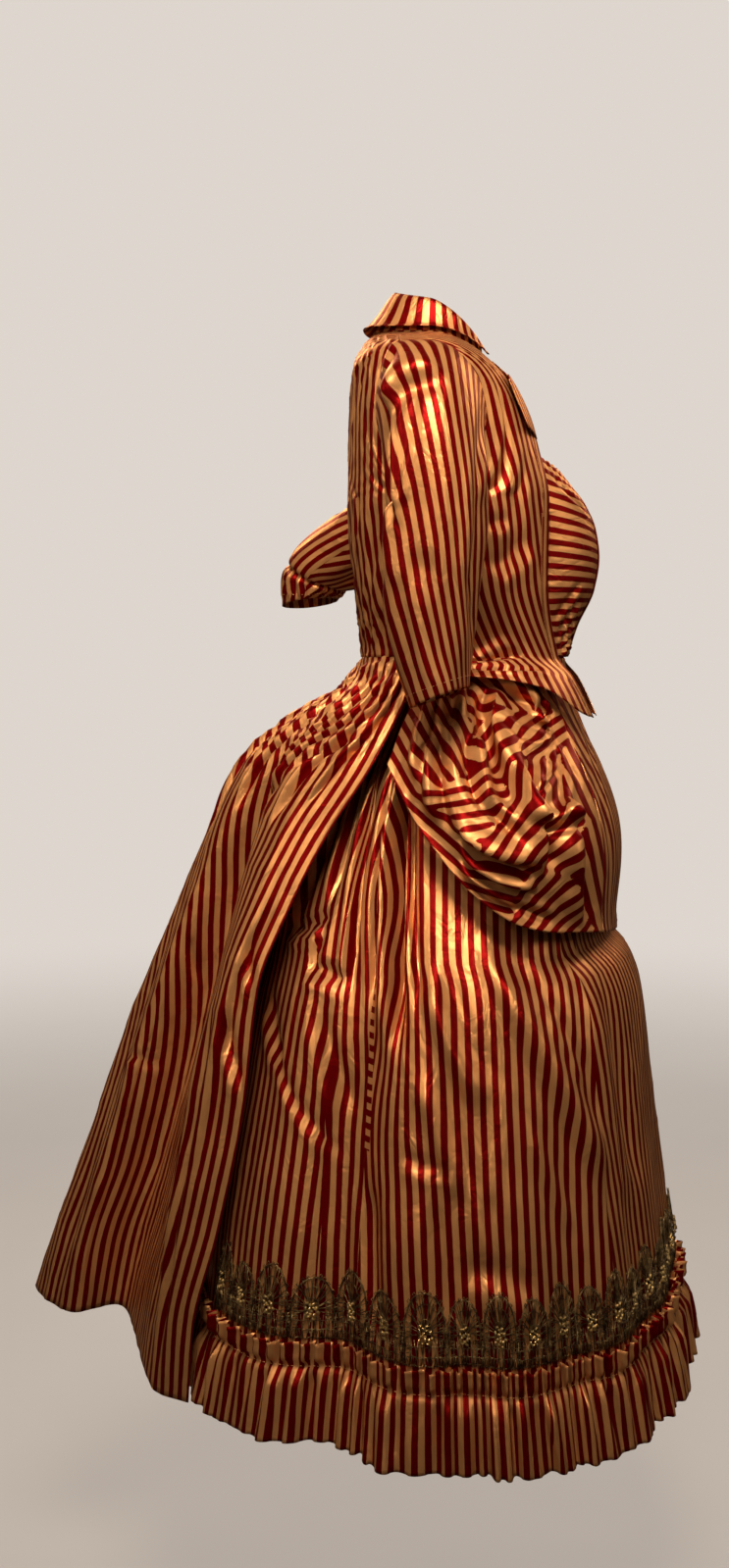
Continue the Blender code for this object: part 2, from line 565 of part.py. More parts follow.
def build():
    """Make every piece of the dress."""
    clear()
    home = bpy.data.collections.new("bustle_dress")
    bpy.context.scene.collection.children.link(home)
    satin = material("striped_satin", SATIN, 0.38, 0.0)
    metal_lace = material("metallic_lace", LACE_GOLD, 0.42, 0.6)

    u, v = grid_of(spread(14), np.array(NECK_LEVELS + WAIST_LEVELS) / WAIST_LEVEL)
    cloth("bodice_back", bodice_back(u, v), satin, home)

    u, v = grid_of(spread(6), np.array(NECK_LEVELS + WAIST_LEVELS + BASQUE_LEVELS) / BASQUE_LEVEL)
    cloth("bodice_front_right", bodice_front(u, v, -1), satin, home)
    cloth("bodice_front_left", bodice_front(u, v, 1), satin, home)

    bust = (np.array(WAIST_LEVELS) - BUST_LEVEL) / (WAIST_LEVEL - BUST_LEVEL)
    u, v = grid_of([0, 0.08, 0.2, 0.4, 0.65, 1.0], bust)
    cloth("plastron_right", plastron(u, v, -1), satin, home)
    cloth("plastron_left", plastron(u, v, 1), satin, home)
    u, v = grid_of([0.0, 0.5, 1.0], bust[:-1])
    cloth("front_band", front_band(u, v), satin, home)

    u, v = grid_of(spread(18), [row[0] for row in COLLAR_SECTION])
    cloth("collar", collar(u, v), satin, home)
    u, v = grid_of([0.0, 0.2, 0.45, 0.72, 0.86, 1.0], [0.0, 0.5, 1.0])
    cloth("lapel_right", lapel(u, v, -1), satin, home)
    cloth("lapel_left", lapel(u, v, 1), satin, home)

    u, v = grid_of(spread(16)[:-1], [0, 0.07, 0.14, 0.22, 0.30, 0.42, 0.55, 0.70, 0.85, 1.0])
    cloth("sleeve_right", sleeve(u, v, -1), satin, home, closed=True)
    cloth("sleeve_left", sleeve(u, v, 1), satin, home, closed=True)

    gap = SEAM / 0.4
    u, v = grid_of(spread(16, DRAPE_SEAM + gap, 1.0), FALL_ROWS)
    cloth("pannier_left", overskirt(u, v), satin, home)
    cloth("pannier_right", overskirt(-u, v), satin, home)
    u, v = grid_of(spread(8, -DRAPE_SEAM + gap, DRAPE_SEAM - gap), FALL_ROWS)
    cloth("front_drape", overskirt(u, v), satin, home)

    across = np.array([0, 0.5, 1, 1.5, 2, 2.5, 3, 3.4, 4, 4.5])
    across = np.concatenate([across - 5, [0.0], 5 - across[::-1]])
    u, v = grid_of(across, [0, 0.04, 0.08, 0.12, 0.16, 0.22, 0.32, 0.45, 0.6, 0.75, 0.88, 1.0])
    cloth("train", train(u, v), satin, home)

    u, v = grid_of(skirt_columns(), SKIRT_ROWS)
    cloth("underskirt", skirt(u, v), satin, home, closed=True)

    u, v = grid_of(np.arange(GATHERS * 4) / 4.0, [0.0, 0.14, 0.5, 1.0])
    cloth("flounce", flounce(u, v), satin, home, closed=True)

    u, v = grid_of(np.arange(LACE_REPEATS * 4 + 1) / 4.0, [0.0, 0.3, 0.7, 1.0])
    holes = {(1, 4 * k + n) for k in range(LACE_REPEATS) for n in (1, 3)}
    cloth("lace_trim", lace_band(u, v), metal_lace, home, thickness=LACE, holes=holes)


build()
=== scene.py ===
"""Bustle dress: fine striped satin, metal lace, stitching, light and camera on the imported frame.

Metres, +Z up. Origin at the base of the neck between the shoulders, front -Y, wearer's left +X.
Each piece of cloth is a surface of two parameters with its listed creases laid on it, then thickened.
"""

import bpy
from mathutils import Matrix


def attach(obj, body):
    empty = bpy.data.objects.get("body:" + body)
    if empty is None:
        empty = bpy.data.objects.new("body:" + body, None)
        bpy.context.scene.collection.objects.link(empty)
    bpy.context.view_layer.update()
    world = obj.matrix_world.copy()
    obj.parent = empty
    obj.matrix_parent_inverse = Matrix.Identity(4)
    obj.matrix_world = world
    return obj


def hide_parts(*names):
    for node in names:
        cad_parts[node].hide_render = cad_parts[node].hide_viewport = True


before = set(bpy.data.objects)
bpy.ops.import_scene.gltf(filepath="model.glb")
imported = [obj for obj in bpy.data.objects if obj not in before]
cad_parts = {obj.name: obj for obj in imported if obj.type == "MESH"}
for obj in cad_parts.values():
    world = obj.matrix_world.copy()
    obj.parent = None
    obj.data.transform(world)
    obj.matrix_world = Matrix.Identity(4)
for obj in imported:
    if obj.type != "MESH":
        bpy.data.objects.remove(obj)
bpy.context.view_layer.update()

import math

import bpy
import numpy as np
from mathutils import Vector

bl_info = {
    "name": "Bustle dress",
    "version": (1, 0, 0),
    "blender": (4, 5, 0),
    "location": "View3D > Sidebar > Dress",
    "description": "Makes the cloth, lace, stitching, light and camera of a bustle dress",
    "category": "Object",
}

CLOTH = 0.0016
SEAM = 0.0006
SQUARENESS = 0.12
TWIST_DEG = 5.0

# Levels of the bodice from the neck seam down, and the turn that the seams leave open, in degrees.
BUST_LEVEL = 1.55
WAIST_LEVEL = 4.0
BASQUE_LEVEL = 5.1
SEAM_DEG = 0.2456
PLASTRON_GAP_DEG = 0.573

# Seam over the shoulder, round the armhole and down the side: angles from centre front at the neck,
# at the top of the armhole and under the arm, and how far the armhole cuts forward and back.
NECK_SEAM_DEG = 114.0
SHOULDER_SEAM_DEG = 107.0
SIDE_SEAM_DEG = 95.0
ARMHOLE_FRONT_DEG = 38.0
ARMHOLE_BACK_DEG = 20.0

# Body rings from the neck seam to the basque. level, half width, front y, back y, side y,
# and how far below the origin the ring lies in front, at the side and behind.
BODY = (
    (0.0, 0.056, -0.062, 0.078, 0.014, 0.045, -0.004, -0.010),
    (0.5, 0.106, -0.080, 0.091, 0.012, 0.066, 0.007, 0.010),
    (1.0, 0.152, -0.098, 0.099, 0.008, 0.094, 0.026, 0.038),
    (1.5, 0.159, -0.116, 0.103, 0.004, 0.135, 0.103, 0.110),
    (2.0, 0.157, -0.130, 0.103, 0.000, 0.178, 0.178, 0.178),
    (3.0, 0.145, -0.133, 0.095, -0.004, 0.270, 0.270, 0.270),
    (4.0, 0.122, -0.139, 0.088, -0.010, 0.345, 0.345, 0.345),
    (4.4, 0.147, -0.154, 0.100, -0.010, 0.368, 0.368, 0.368),
    (5.1, 0.190, -0.174, 0.130, -0.010, 0.416, 0.416, 0.416),
)

# Front edge of the bodice front: level, angle from centre front.
FRONT_EDGE = (
    (0.0, 45.0),
    (0.5, 31.0),
    (1.0, 25.0),
    (1.5, 27.5),
    (2.0, 29.0),
    (3.0, 29.0),
    (4.0, 22.0),
    (5.1, 11.0),
)

# Lower edge of the bodice front: angle from centre front, level.
BASQUE_HEM = ((0.0, 5.1), (22.0, 4.95), (45.0, 4.55), (70.0, 4.38), (100.0, 4.32))

# Plastron at centre front: level, distance below the origin, y.
PLASTRON = (
    (1.55, 0.150, -0.134),
    (1.80, 0.180, -0.157),
    (2.20, 0.206, -0.168),
    (2.50, 0.235, -0.172),
    (3.00, 0.270, -0.167),
    (3.50, 0.310, -0.149),
    (4.00, 0.3435, -0.1385),
)

# Collar round the neck: angle from centre front, height, lean of the fold towards the neck.
COLLAR = (
    (44.0, 0.009, 0.001),
    (57.0, 0.0185, 0.003),
    (75.0, 0.029, 0.006),
    (90.0, 0.036, 0.008),
    (130.0, 0.042, 0.020),
    (180.0, 0.046, 0.030),
)

# Lapel: place along it from the neck down, width in degrees round the body.
LAPEL = ((0.0, 2.5), (0.35, 8.0), (0.72, 22.0), (1.0, 13.0))

# Collar section: place along the cloth, step outwards, share of the height.
COLLAR_SECTION = (
    (0.00, 0.0000, 0.02),
    (0.25, -0.0005, 0.50),
    (0.45, 0.0000, 0.92),
    (0.52, 0.0024, 1.00),
    (0.60, 0.0050, 0.90),
    (0.78, 0.0078, 0.42),
    (0.92, 0.0112, 0.14),
    (1.00, 0.0140, 0.10),
)

# Sleeves: place along the sleeve, centre x, y, z, half sizes across and fore-and-aft, lean of the section.
SLEEVE_RIGHT = (
    (0.0, -0.2150, -0.021, -0.188, 0.0480, 0.0510, 0.0),
    (0.2, -0.2175, -0.020, -0.225, 0.0475, 0.0500, 0.0),
    (0.5, -0.2185, -0.017, -0.278, 0.0480, 0.0465, 5.0),
    (0.8, -0.2170, -0.020, -0.343, 0.0470, 0.0390, 14.0),
    (1.0, -0.2150, -0.0255, -0.386, 0.0450, 0.0310, 21.0),
)
SLEEVE_LEFT = (
    (0.0, 0.2190, 0.064, -0.158, 0.0500, 0.0540, 42.0),
    (0.25, 0.2400, 0.106, -0.180, 0.0490, 0.0530, 50.0),
    (0.55, 0.2680, 0.158, -0.208, 0.0470, 0.0500, 50.0),
    (0.80, 0.2880, 0.203, -0.236, 0.0450, 0.0430, 26.0),
    (1.00, 0.2980, 0.214, -0.272, 0.0430, 0.0360, -8.0),
)

# Overskirt in front of the side seams, from centre front back: place, angle at the waist,
# lower edge x, y and distance below the origin, swell of the cloth above it.
OVERSKIRT = (
    (0.00, 0.0, 0.000, -0.1970, 0.646, 0.030),
    (0.20, 22.0, 0.110, -0.1920, 0.634, 0.032),
    (0.27, 30.0, 0.150, -0.1870, 0.628, 0.038),
    (0.36, 38.0, 0.195, -0.1620, 0.622, 0.050),
    (0.45, 45.0, 0.225, -0.1360, 0.618, 0.060),
    (0.55, 53.0, 0.243, -0.1050, 0.608, 0.066),
    (0.66, 62.0, 0.248, -0.0620, 0.578, 0.062),
    (0.78, 73.0, 0.238, -0.0150, 0.525, 0.048),
    (0.88, 83.0, 0.214, 0.0100, 0.492, 0.028),
    (1.00, 93.0, 0.190, 0.0320, 0.455, 0.010),
)
DRAPE_SEAM = 0.27
KNOT_PLACE = 0.345
KNOT_DROP = 0.30
KNOT_SIZE = (0.46, 0.27)

# Train: distance below the origin, then x and y of its front edge, side swell, side crest,
# valley and back shoulder, and y of centre back.
TRAIN = (
    (0.3456, 0.1206, 0.009, 0.117, 0.026, 0.110, 0.041, 0.0914, 0.0634, 0.0566, 0.0807, 0.088),
    (0.378, 0.134, 0.016, 0.133, 0.036, 0.124, 0.054, 0.100, 0.079, 0.062, 0.100, 0.113),
    (0.412, 0.158, 0.028, 0.158, 0.056, 0.144, 0.084, 0.114, 0.112, 0.074, 0.142, 0.170),
    (0.460, 0.186, 0.050, 0.178, 0.102, 0.142, 0.150, 0.106, 0.160, 0.076, 0.198, 0.232),
    (0.525, 0.204, 0.090, 0.192, 0.142, 0.146, 0.178, 0.098, 0.186, 0.083, 0.236, 0.260),
    (0.600, 0.224, 0.126, 0.208, 0.172, 0.152, 0.198, 0.086, 0.210, 0.088, 0.262, 0.294),
    (0.680, 0.242, 0.155, 0.222, 0.198, 0.158, 0.218, 0.078, 0.236, 0.090, 0.292, 0.330),
    (0.800, 0.252, 0.168, 0.232, 0.222, 0.166, 0.247, 0.068, 0.278, 0.090, 0.334, 0.377),
    (0.930, 0.254, 0.195, 0.232, 0.246, 0.174, 0.267, 0.060, 0.320, 0.088, 0.374, 0.426),
    (1.040, 0.246, 0.225, 0.224, 0.262, 0.180, 0.289, 0.054, 0.352, 0.087, 0.404, 0.468),
    (1.125, 0.240, 0.233, 0.217, 0.272, 0.184, 0.300, 0.052, 0.372, 0.086, 0.424, 0.497),
)
TRAIN_HEM = ((0, 1.119), (1, 1.121), (2, 1.110), (3, 1.096), (4, 1.094), (5, 1.097))

# Skirt rings: distance below the origin, half width, front y, back y, side y.
SKIRT = (
    (0.347, 0.1168, -0.1340, 0.076, -0.010),
    (0.420, 0.130, -0.142, 0.104, -0.015),
    (0.500, 0.170, -0.160, 0.140, -0.020),
    (0.580, 0.208, -0.173, 0.168, -0.022),
    (0.646, 0.242, -0.184, 0.185, -0.025),
    (0.672, 0.256, -0.209, 0.190, -0.026),
    (0.705, 0.272, -0.222, 0.198, -0.027),
    (0.815, 0.303, -0.237, 0.220, -0.032),
    (0.926, 0.330, -0.252, 0.242, -0.038),
    (1.030, 0.342, -0.265, 0.256, -0.042),
    (1.120, 0.352, -0.277, 0.268, -0.045),
)
SKIRT_HEM = 1.052
SKIRT_ROWS = (0.347, 0.44, 0.54, 0.645, 0.672, 0.705, 0.82, 0.935, SKIRT_HEM)

# Folds of the skirt: angle from centre front (the wearer's right is minus), half width in degrees,
# depth at the hem, distance below the origin where it opens and where it is full.
SKIRT_FOLDS = (
    (-110.0, 9.0, 0.040, 0.46, 0.93),
    (-84.0, 7.0, 0.012, 0.62, 0.93),
    (-58.0, 8.0, 0.012, 0.66, 0.93),
    (-33.0, 7.0, 0.009, 0.66, 0.93),
    (-8.0, 8.0, 0.007, 0.70, 0.93),
    (18.0, 8.0, 0.010, 0.66, 0.93),
    (45.0, 8.0, 0.012, 0.66, 0.93),
    (74.0, 8.0, 0.014, 0.62, 0.93),
    (106.0, 9.0, 0.036, 0.46, 0.93),
)

# Flounce: share of its drop, distance below the origin, lift off the skirt, depth of the gathers.
FLOUNCE = (
    (0.00, 1.0215, 0.0072, 0.0026),
    (0.14, 1.0360, 0.0024, 0.0004),
    (0.45, 1.0640, 0.0100, 0.0042),
    (1.00, 1.1170, 0.0140, 0.0078),
)
GATHERS = 66

LACE_REACH_DEG = 144.0
LACE_FOOT = 1.0203
LACE_HEIGHT = 0.062
LACE_SCALLOP = 0.011
LACE_STEP = 0.004


def through(rows, at):
    """Smooth curve through the rows of a table without overshoot, looked up by its first column."""
    data = np.array(rows, float)
    places = data[:, 0]
    values = data[:, 1:]
    steps = np.diff(places)[:, None]
    slopes = np.diff(values, axis=0) / steps
    product = slopes[1:] * slopes[:-1]
    total = np.where(np.abs(slopes[1:] + slopes[:-1]) < 1e-12, 1.0, slopes[1:] + slopes[:-1])
    inner = np.where(product > 0, 2 * product / total, 0.0)
    ends = np.concatenate([slopes[:1], inner, slopes[-1:]])
    at = np.asarray(at, float)
    index = np.clip(np.searchsorted(places, at, side="right") - 1, 0, len(places) - 2)
    width = steps[index, 0]
    part = np.clip((at - places[index]) / width, 0.0, 1.0)[..., None]
    width = width[..., None]
    found = values[index] * (2 * part**3 - 3 * part**2 + 1)
    found = found + ends[index] * width * (part**3 - 2 * part**2 + part)
    found = found + values[index + 1] * (3 * part**2 - 2 * part**3)
    found = found + ends[index + 1] * width * (part**3 - part**2)
    return tuple(found[..., k] for k in range(found.shape[-1]))


def ramp(at, low, high):
    """Soft step from 0 at low to 1 at high."""
    part = np.clip((at - low) / (high - low), 0.0, 1.0)
    return part * part * (3 - 2 * part)


def points(x, y, z):
    """One array of points from three arrays of coordinates."""
    return np.stack(np.broadcast_arrays(x, y, z), axis=-1)


def unit(vectors):
    """Vectors at length one."""
    return vectors / np.maximum(np.linalg.norm(vectors, axis=-1, keepdims=True), 1e-12)


def ring(half, front, back, side, turn):
    """Plan of a squarish oval: x and y at an angle from centre front."""
    c = np.cos(turn)
    s = np.sin(turn)
    depth = np.where(c > 0, side - front, back - side)
    x = half * s * (1 + SQUARENESS * c * c)
    y = side - depth * c * (1 + SQUARENESS * s * s)
    return x, y


def lifted(grid, distance, closed=False):
    """Grid of points moved along its own outward normals."""
    if closed:
        across = np.roll(grid, -1, axis=1) - np.roll(grid, 1, axis=1)
    else:
        across = np.gradient(grid, axis=1)
    down = np.gradient(grid, axis=0)
    normal = unit(np.cross(down, across))
    centre = grid.mean(axis=(0, 1))
    outward = np.sum(normal * (grid - centre), axis=(0, 1, 2))
    return grid + normal * np.sign(outward) * np.asarray(distance)[..., None]


def body(turn_deg, level):
    """Bodice surface: rings that tilt at the neck and turn a little towards the right shoulder's lead."""
    turn = np.radians(turn_deg)
    half, front, back, side, low_front, low_side, low_back = through(BODY, level)
    x, y = ring(half, front, back, side, turn)
    c = np.cos(turn)
    drop = low_side + (np.where(c > 0, low_front, low_back) - low_side) * c * c
    twist = np.radians(TWIST_DEG) * ramp(WAIST_LEVEL - level, 0.0, 3.0)
    return points(x * np.cos(twist) - y * np.sin(twist), x * np.sin(twist) + y * np.cos(twist), -drop)


def armhole(level, edge):
    """Angle of the front (edge -1) or back (edge +1) side of the seam from the neck over the armhole down."""
    q = np.clip(level - 1.0, 0.0, 1.0)
    seam = NECK_SEAM_DEG + (SHOULDER_SEAM_DEG - NECK_SEAM_DEG) * np.clip(level, 0, 1)
    seam = seam + (SIDE_SEAM_DEG - SHOULDER_SEAM_DEG) * q
    front = -ARMHOLE_FRONT_DEG * np.clip(np.sin(np.pi * q**0.6), 0, 1) ** 0.6
    back = ARMHOLE_BACK_DEG * np.clip(np.sin(np.pi * q), 0, 1) ** 0.8
    return seam + np.where(edge < 0, front, back)


def bodice_front(u, v, side):
    """Front of one side: seams at u 0, front edge at u 1, shoulder at v 0, lower edge at v 1."""
    top = BASQUE_LEVEL * v
    back_turn = armhole(top, -1) - SEAM_DEG
    front_turn = through(FRONT_EDGE, top)[0]
    turn = back_turn + (front_turn - back_turn) * u
    low = through(BASQUE_HEM, turn)[0]
    below = (top - WAIST_LEVEL) * (low - WAIST_LEVEL) / (BASQUE_LEVEL - WAIST_LEVEL)
    level = np.where(top > WAIST_LEVEL, WAIST_LEVEL + below, top)
    return body(side * turn, level)


def bodice_back(u, v):
    """Back from the right side seam at u 0 round to the left one at u 1, neck at v 0, waist at v 1."""
    level = WAIST_LEVEL * v
    reach = 180.0 - armhole(level, 1) - SEAM_DEG
    return body(180.0 + reach * (1 - 2 * u), level)


def plastron(u, v, side):
    """Gathered bust front of one side: bodice edge at u 0, centre front at u 1, swelling forwards."""
    level = BUST_LEVEL + (WAIST_LEVEL - BUST_LEVEL) * v
    edge_turn = through(FRONT_EDGE, level)[0] - PLASTRON_GAP_DEG
    edge = body(side * edge_turn, level)
    down, middle_y = through(PLASTRON, level)
    near = 1 - u
    x = edge[..., 0] * near + side * SEAM / 2 * u
    y = middle_y + (edge[..., 1] - middle_y) * near**2.3
    z = -down + (edge[..., 2] + down) * near**1.5
    return points(x, y, z)


def front_band(u, v):
    """Closing band laid on the plastron: its points near centre front, moved out."""
    offset = (u - 0.5) * 0.014
    down, middle_y = through(PLASTRON, BUST_LEVEL + (WAIST_LEVEL - BUST_LEVEL) * v)
    slope = np.gradient(middle_y, axis=0) / np.gradient(down, axis=0)
    size = np.hypot(1.0, slope)
    lift = CLOTH + 0.0012
    return points(offset, middle_y + 0.1 * np.abs(offset) - lift / size, -down - lift * slope / size)


def collar(u, v):
    """Stand collar folded over outwards: front right end at u 0, round the back, front left end at u 1."""
    angle = 44.0 + 272.0 * u
    turn = np.where(angle > 180.0, 360.0 - angle, angle)
    seam = body(-angle, np.zeros_like(u))
    height, lean = through(COLLAR, turn)
    step, share = through(COLLAR_SECTION, v)
    centre = np.array([0.0, 0.010, 0.0])
    out = unit((seam - centre) * np.array([1.0, 1.0, 0.0]))
    spread = step * (0.7 + 0.3 * ramp(turn, 44.0, 110.0)) - lean * share
    return seam + out * spread[..., None] + points(0 * u, 0 * u, height * share + CLOTH * 0.9)


def lapel(u, v, side):
    """Pointed wing along the open neck: neck end at u 0, lower end at u 1, bodice edge at v 0."""
    level = 0.22 + 1.16 * u
    turn = through(FRONT_EDGE, level)[0] + 1.0 + through(LAPEL, u)[0] * v
    stand = np.where(side < 0, 0.0035, 0.020) * v * (0.3 + 0.7 * u)
    return lifted(body(side * turn, level), CLOTH + 0.0006 + stand)


def sleeve_ring(rows, s, phi, side):
    """Oval sections of a sleeve along its centre line."""
    x, y, z, across, deep, lean = through(rows, s)
    if side < 0:
        lean = np.radians(lean)
        first = points(np.ones_like(lean), 0 * lean, 0 * lean)
        second = points(0 * lean, np.cos(lean), -np.sin(lean))
    else:
        lean = np.radians(lean)
        heading = unit(points(0.55 * np.sin(lean), np.sin(lean), -np.cos(lean)))
        first = unit(np.array([1.0, 0.0, 0.0]) - heading[..., :1] * heading)
        second = -np.cross(heading, first)
    reach = (np.cos(phi) * across)[..., None] * first * side + (np.sin(phi) * deep)[..., None] * second
    return points(x, y, z) + reach


def armhole_ring(phi, side):
    """Armhole seam: outer top at phi 0, back at a quarter turn, bottom at half, front at three quarters."""
    part = np.mod(phi / (2 * np.pi) - 0.06, 1.0)
    behind = part < 0.5
    q = np.where(behind, part * 2, 2 - part * 2)
    level = 1.0 + 0.5 * (1 - np.cos(np.pi * q))
    turn = np.where(behind, armhole(level, 1), armhole(level, -1))
    here = body(side * turn, level)
    ahead = body(side * (turn + 1.0), level)
    below = body(side * turn, level + 0.02)
    normal = unit(np.cross(below - here, ahead - here))
    facing = np.sign(np.sum(normal * np.array([side, 0.0, 0.0]), axis=-1, keepdims=True))
    return here + normal * facing * (CLOTH + 0.0003)


def sleeve(u, v, side):
    """Sleeve with its cap: round the arm by u, from the armhole at v 0 to the hem at v 1."""
    rows = np.where(side < 0, SLEEVE_RIGHT, SLEEVE_LEFT)
    phi = 2 * np.pi * u
    cap = 0.30
    start = armhole_ring(phi, side)
    stop = sleeve_ring(rows, np.zeros_like(u), phi, side)
    after = sleeve_ring(rows, np.full_like(u, 0.05), phi, side)
    length = np.linalg.norm(stop - start, axis=-1, keepdims=True)
    leave = np.array([side * 1.0, 0.0, 0.10]) * length * (0.80 + 0.45 * np.cos(phi))[..., None]
    arrive = unit(after - stop) * length * 1.0
    t = np.clip(v / cap, 0.0, 1.0)[..., None]
    blend = start * (2 * t**3 - 3 * t**2 + 1) + leave * (t**3 - 2 * t**2 + t)
    blend = blend + stop * (3 * t**2 - 2 * t**3) + arrive * (t**3 - t**2)
    along = sleeve_ring(rows, np.clip((v - cap) / (1 - cap), 0.0, 1.0), phi, side)
    return np.where((v < cap)[..., None], blend, along)


def overskirt(place, v):
    """Front of the overskirt: place -1 and 1 at its sides, 0 at centre front, waist at v 0, edge at v 1."""
    side = np.sign(place) + (place == 0)
    turn, x, y, down, swell = through(OVERSKIRT, np.abs(place))
    top = body(side * turn, WAIST_LEVEL + 0.02 + 0 * v)
    inward = unit((top - np.array([0.0, -0.02, 0.0])) * np.array([1.0, 1.0, 0.0]))
    top = top - inward * (CLOTH + 0.0013)
    foot = points(side * x, y, -down)
    out = unit(foot * np.array([1.0, 1.0, 0.0]) - np.array([0.0, -0.045, 0.0]))
    rise = np.sin(np.pi * v**1.3) ** 1.5
    share = points(v**1.3, v**1.3, v)
    base = top + (foot - top) * share + out * (swell * rise)[..., None]
    metric_u = (np.abs(place) - KNOT_PLACE) * KNOT_SIZE[0]
    metric_v = (v - KNOT_DROP) * KNOT_SIZE[1]
    away = np.hypot(metric_u, metric_v)
    angle = np.arctan2(metric_v, metric_u)
    fan = np.cos(9.0 * angle + 0.6 * np.sin(2 * angle)) * (away / 0.045) * np.exp(1 - away / 0.045)
    fan = fan * ramp(metric_u, -0.020, 0.040) * ramp(v, 0.02, 0.14)
    fan = fan * ramp(1 - v, 0.0, 0.12) * ramp(1 - np.abs(place), 0, 0.2)
    pinch = np.exp(-((away / 0.022) ** 2)) * ramp(v, 0.02, 0.14)
    hollow = np.exp(-(((np.abs(place) - 0.70 + 0.10 * v) / 0.055) ** 2))
    hollow = hollow * ramp(v, 0.10, 0.35) * ramp(1 - v, 0.25, 0.6)
    return base + out * (0.0075 * fan - 0.012 * pinch - 0.018 * hollow)[..., None]


def train(place, v):
    """Back overskirt: place -5 and 5 at its front edges, 0 at centre back; waist at v 0, hem at v 1."""
    rib = 5.0 - np.abs(place)
    side = np.where(place < 0, -1.0, 1.0)
    hem = through(TRAIN_HEM, rib)[0]
    first = TRAIN[0][0] + SEAM
    columns = through(TRAIN, first + (hem - first) * v)
    xs = np.stack([columns[0], columns[2], columns[4], columns[6], columns[8], 0 * columns[10], -columns[8]])
    ys = np.stack([columns[1], columns[3], columns[5], columns[7], columns[9], columns[10], columns[9]])
    k = np.clip(np.floor(rib).astype(int), 0, 4)
    t = rib - k

    def across(values):
        def pick(n):
            return np.take_along_axis(values, np.clip(n, 0, 6)[None], axis=0)[0]

        p0 = np.where(k == 0, 2 * pick(k) - pick(k + 1), pick(k - 1))
        p1 = pick(k)
        p2 = pick(k + 1)
        p3 = pick(k + 2)
        square = (2 * p0 - 5 * p1 + 4 * p2 - p3) * t**2
        cube = (3 * p1 - p0 - 3 * p2 + p3) * t**3
        return 0.5 * (2 * p1 + (p2 - p0) * t + square + cube)

    return points(side * across(xs), across(ys), -(first + (hem - first) * v))


def skirt(turn_deg, down):
    """Skirt surface with its folds, by angle from centre front and distance below the origin."""
    half, front, back, side = through(SKIRT, down)
    turn = np.radians(turn_deg)
    x, y = ring(half, front, back, side, turn)
    out = unit(points(x, y - side, 0 * x))
    sink = 0 * x
    for centre, width, depth, opens, full in SKIRT_FOLDS:
        gap = np.mod(turn_deg - centre + 180.0, 360.0) - 180.0
        sink = sink + depth * np.exp(-((gap / width) ** 2)) * ramp(down, opens, full)
    return points(x, y, -down) - out * sink[..., None]


def gather_turn(phase):
    """Angle of a place along the flounce, with uneven spacing of its gathers."""
    share = phase / GATHERS
    uneven = 0.0030 * np.sin(2 * np.pi * 5 * share) + 0.0018 * np.sin(2 * np.pi * 13 * share)
    return 180.0 - 360.0 * (share + uneven)


# Creases, listed one by one. Skirt: angle and distance down at both ends, width, depth and bow in metres.
SKIRT_CREASES = (
    (-97.0, 0.828, -85.0, 0.842, 0.006, 0.0050, 0.002),
    (-90.0, 0.870, -86.0, 0.985, 0.010, 0.0060, 0.004),
    (-84.0, 0.930, -66.0, 0.955, 0.013, 0.0070, -0.008),
    (-36.0, 0.660, -24.0, 0.900, 0.022, 0.0060, 0.005),
    (-78.0, 0.860, -72.0, 0.940, 0.014, 0.0050, -0.004),
    (-103.8, 0.470, -98.0, 0.735, 0.0110, 0.0320, 0.001),
    (-100.0, 0.470, -93.0, 0.700, 0.0065, 0.0120, 0.002),
    (-109.0, 0.460, -106.5, 0.700, 0.0060, 0.0110, 0.001),
    (-115.5, 0.470, -113.0, 0.690, 0.0070, 0.0120, 0.002),
    (-121.0, 0.470, -122.5, 0.600, 0.0080, 0.0110, 0.002),
    (-130.0, 0.490, -138.0, 0.640, 0.0120, 0.0110, -0.004),
    (-140.0, 0.632, -121.0, 0.612, 0.0070, 0.0085, 0.004),
    (-122.0, 0.622, -126.0, 0.664, 0.0060, 0.0070, 0.001),
    (-127.0, 0.664, -114.0, 0.676, 0.0070, 0.0080, -0.003),
    (-134.0, 0.740, -112.0, 0.845, 0.0055, 0.0040, 0.002),
    (-120.0, 0.700, -110.5, 0.800, 0.0110, 0.0070, 0.003),
    (-141.0, 0.700, -130.0, 0.760, 0.0100, 0.0070, 0.003),
    (-104.0, 0.860, -101.0, 1.020, 0.0120, 0.0120, 0.003),
)

# Skirt, folds that roll over towards the front: as above, from the lower end up.
SKIRT_RIDGES = (
    (-42.5, 0.862, -76.0, 0.632, 0.026, 0.0150, 0.003),
    (-47.0, 0.775, -63.0, 0.668, 0.010, 0.0055, -0.002),
    (-77.0, 0.780, -92.0, 0.660, 0.020, 0.0120, -0.004),
    (-84.0, 0.870, -93.0, 0.750, 0.016, 0.0090, 0.002),
    (-55.0, 0.905, -68.0, 0.800, 0.014, 0.0050, 0.003),
)

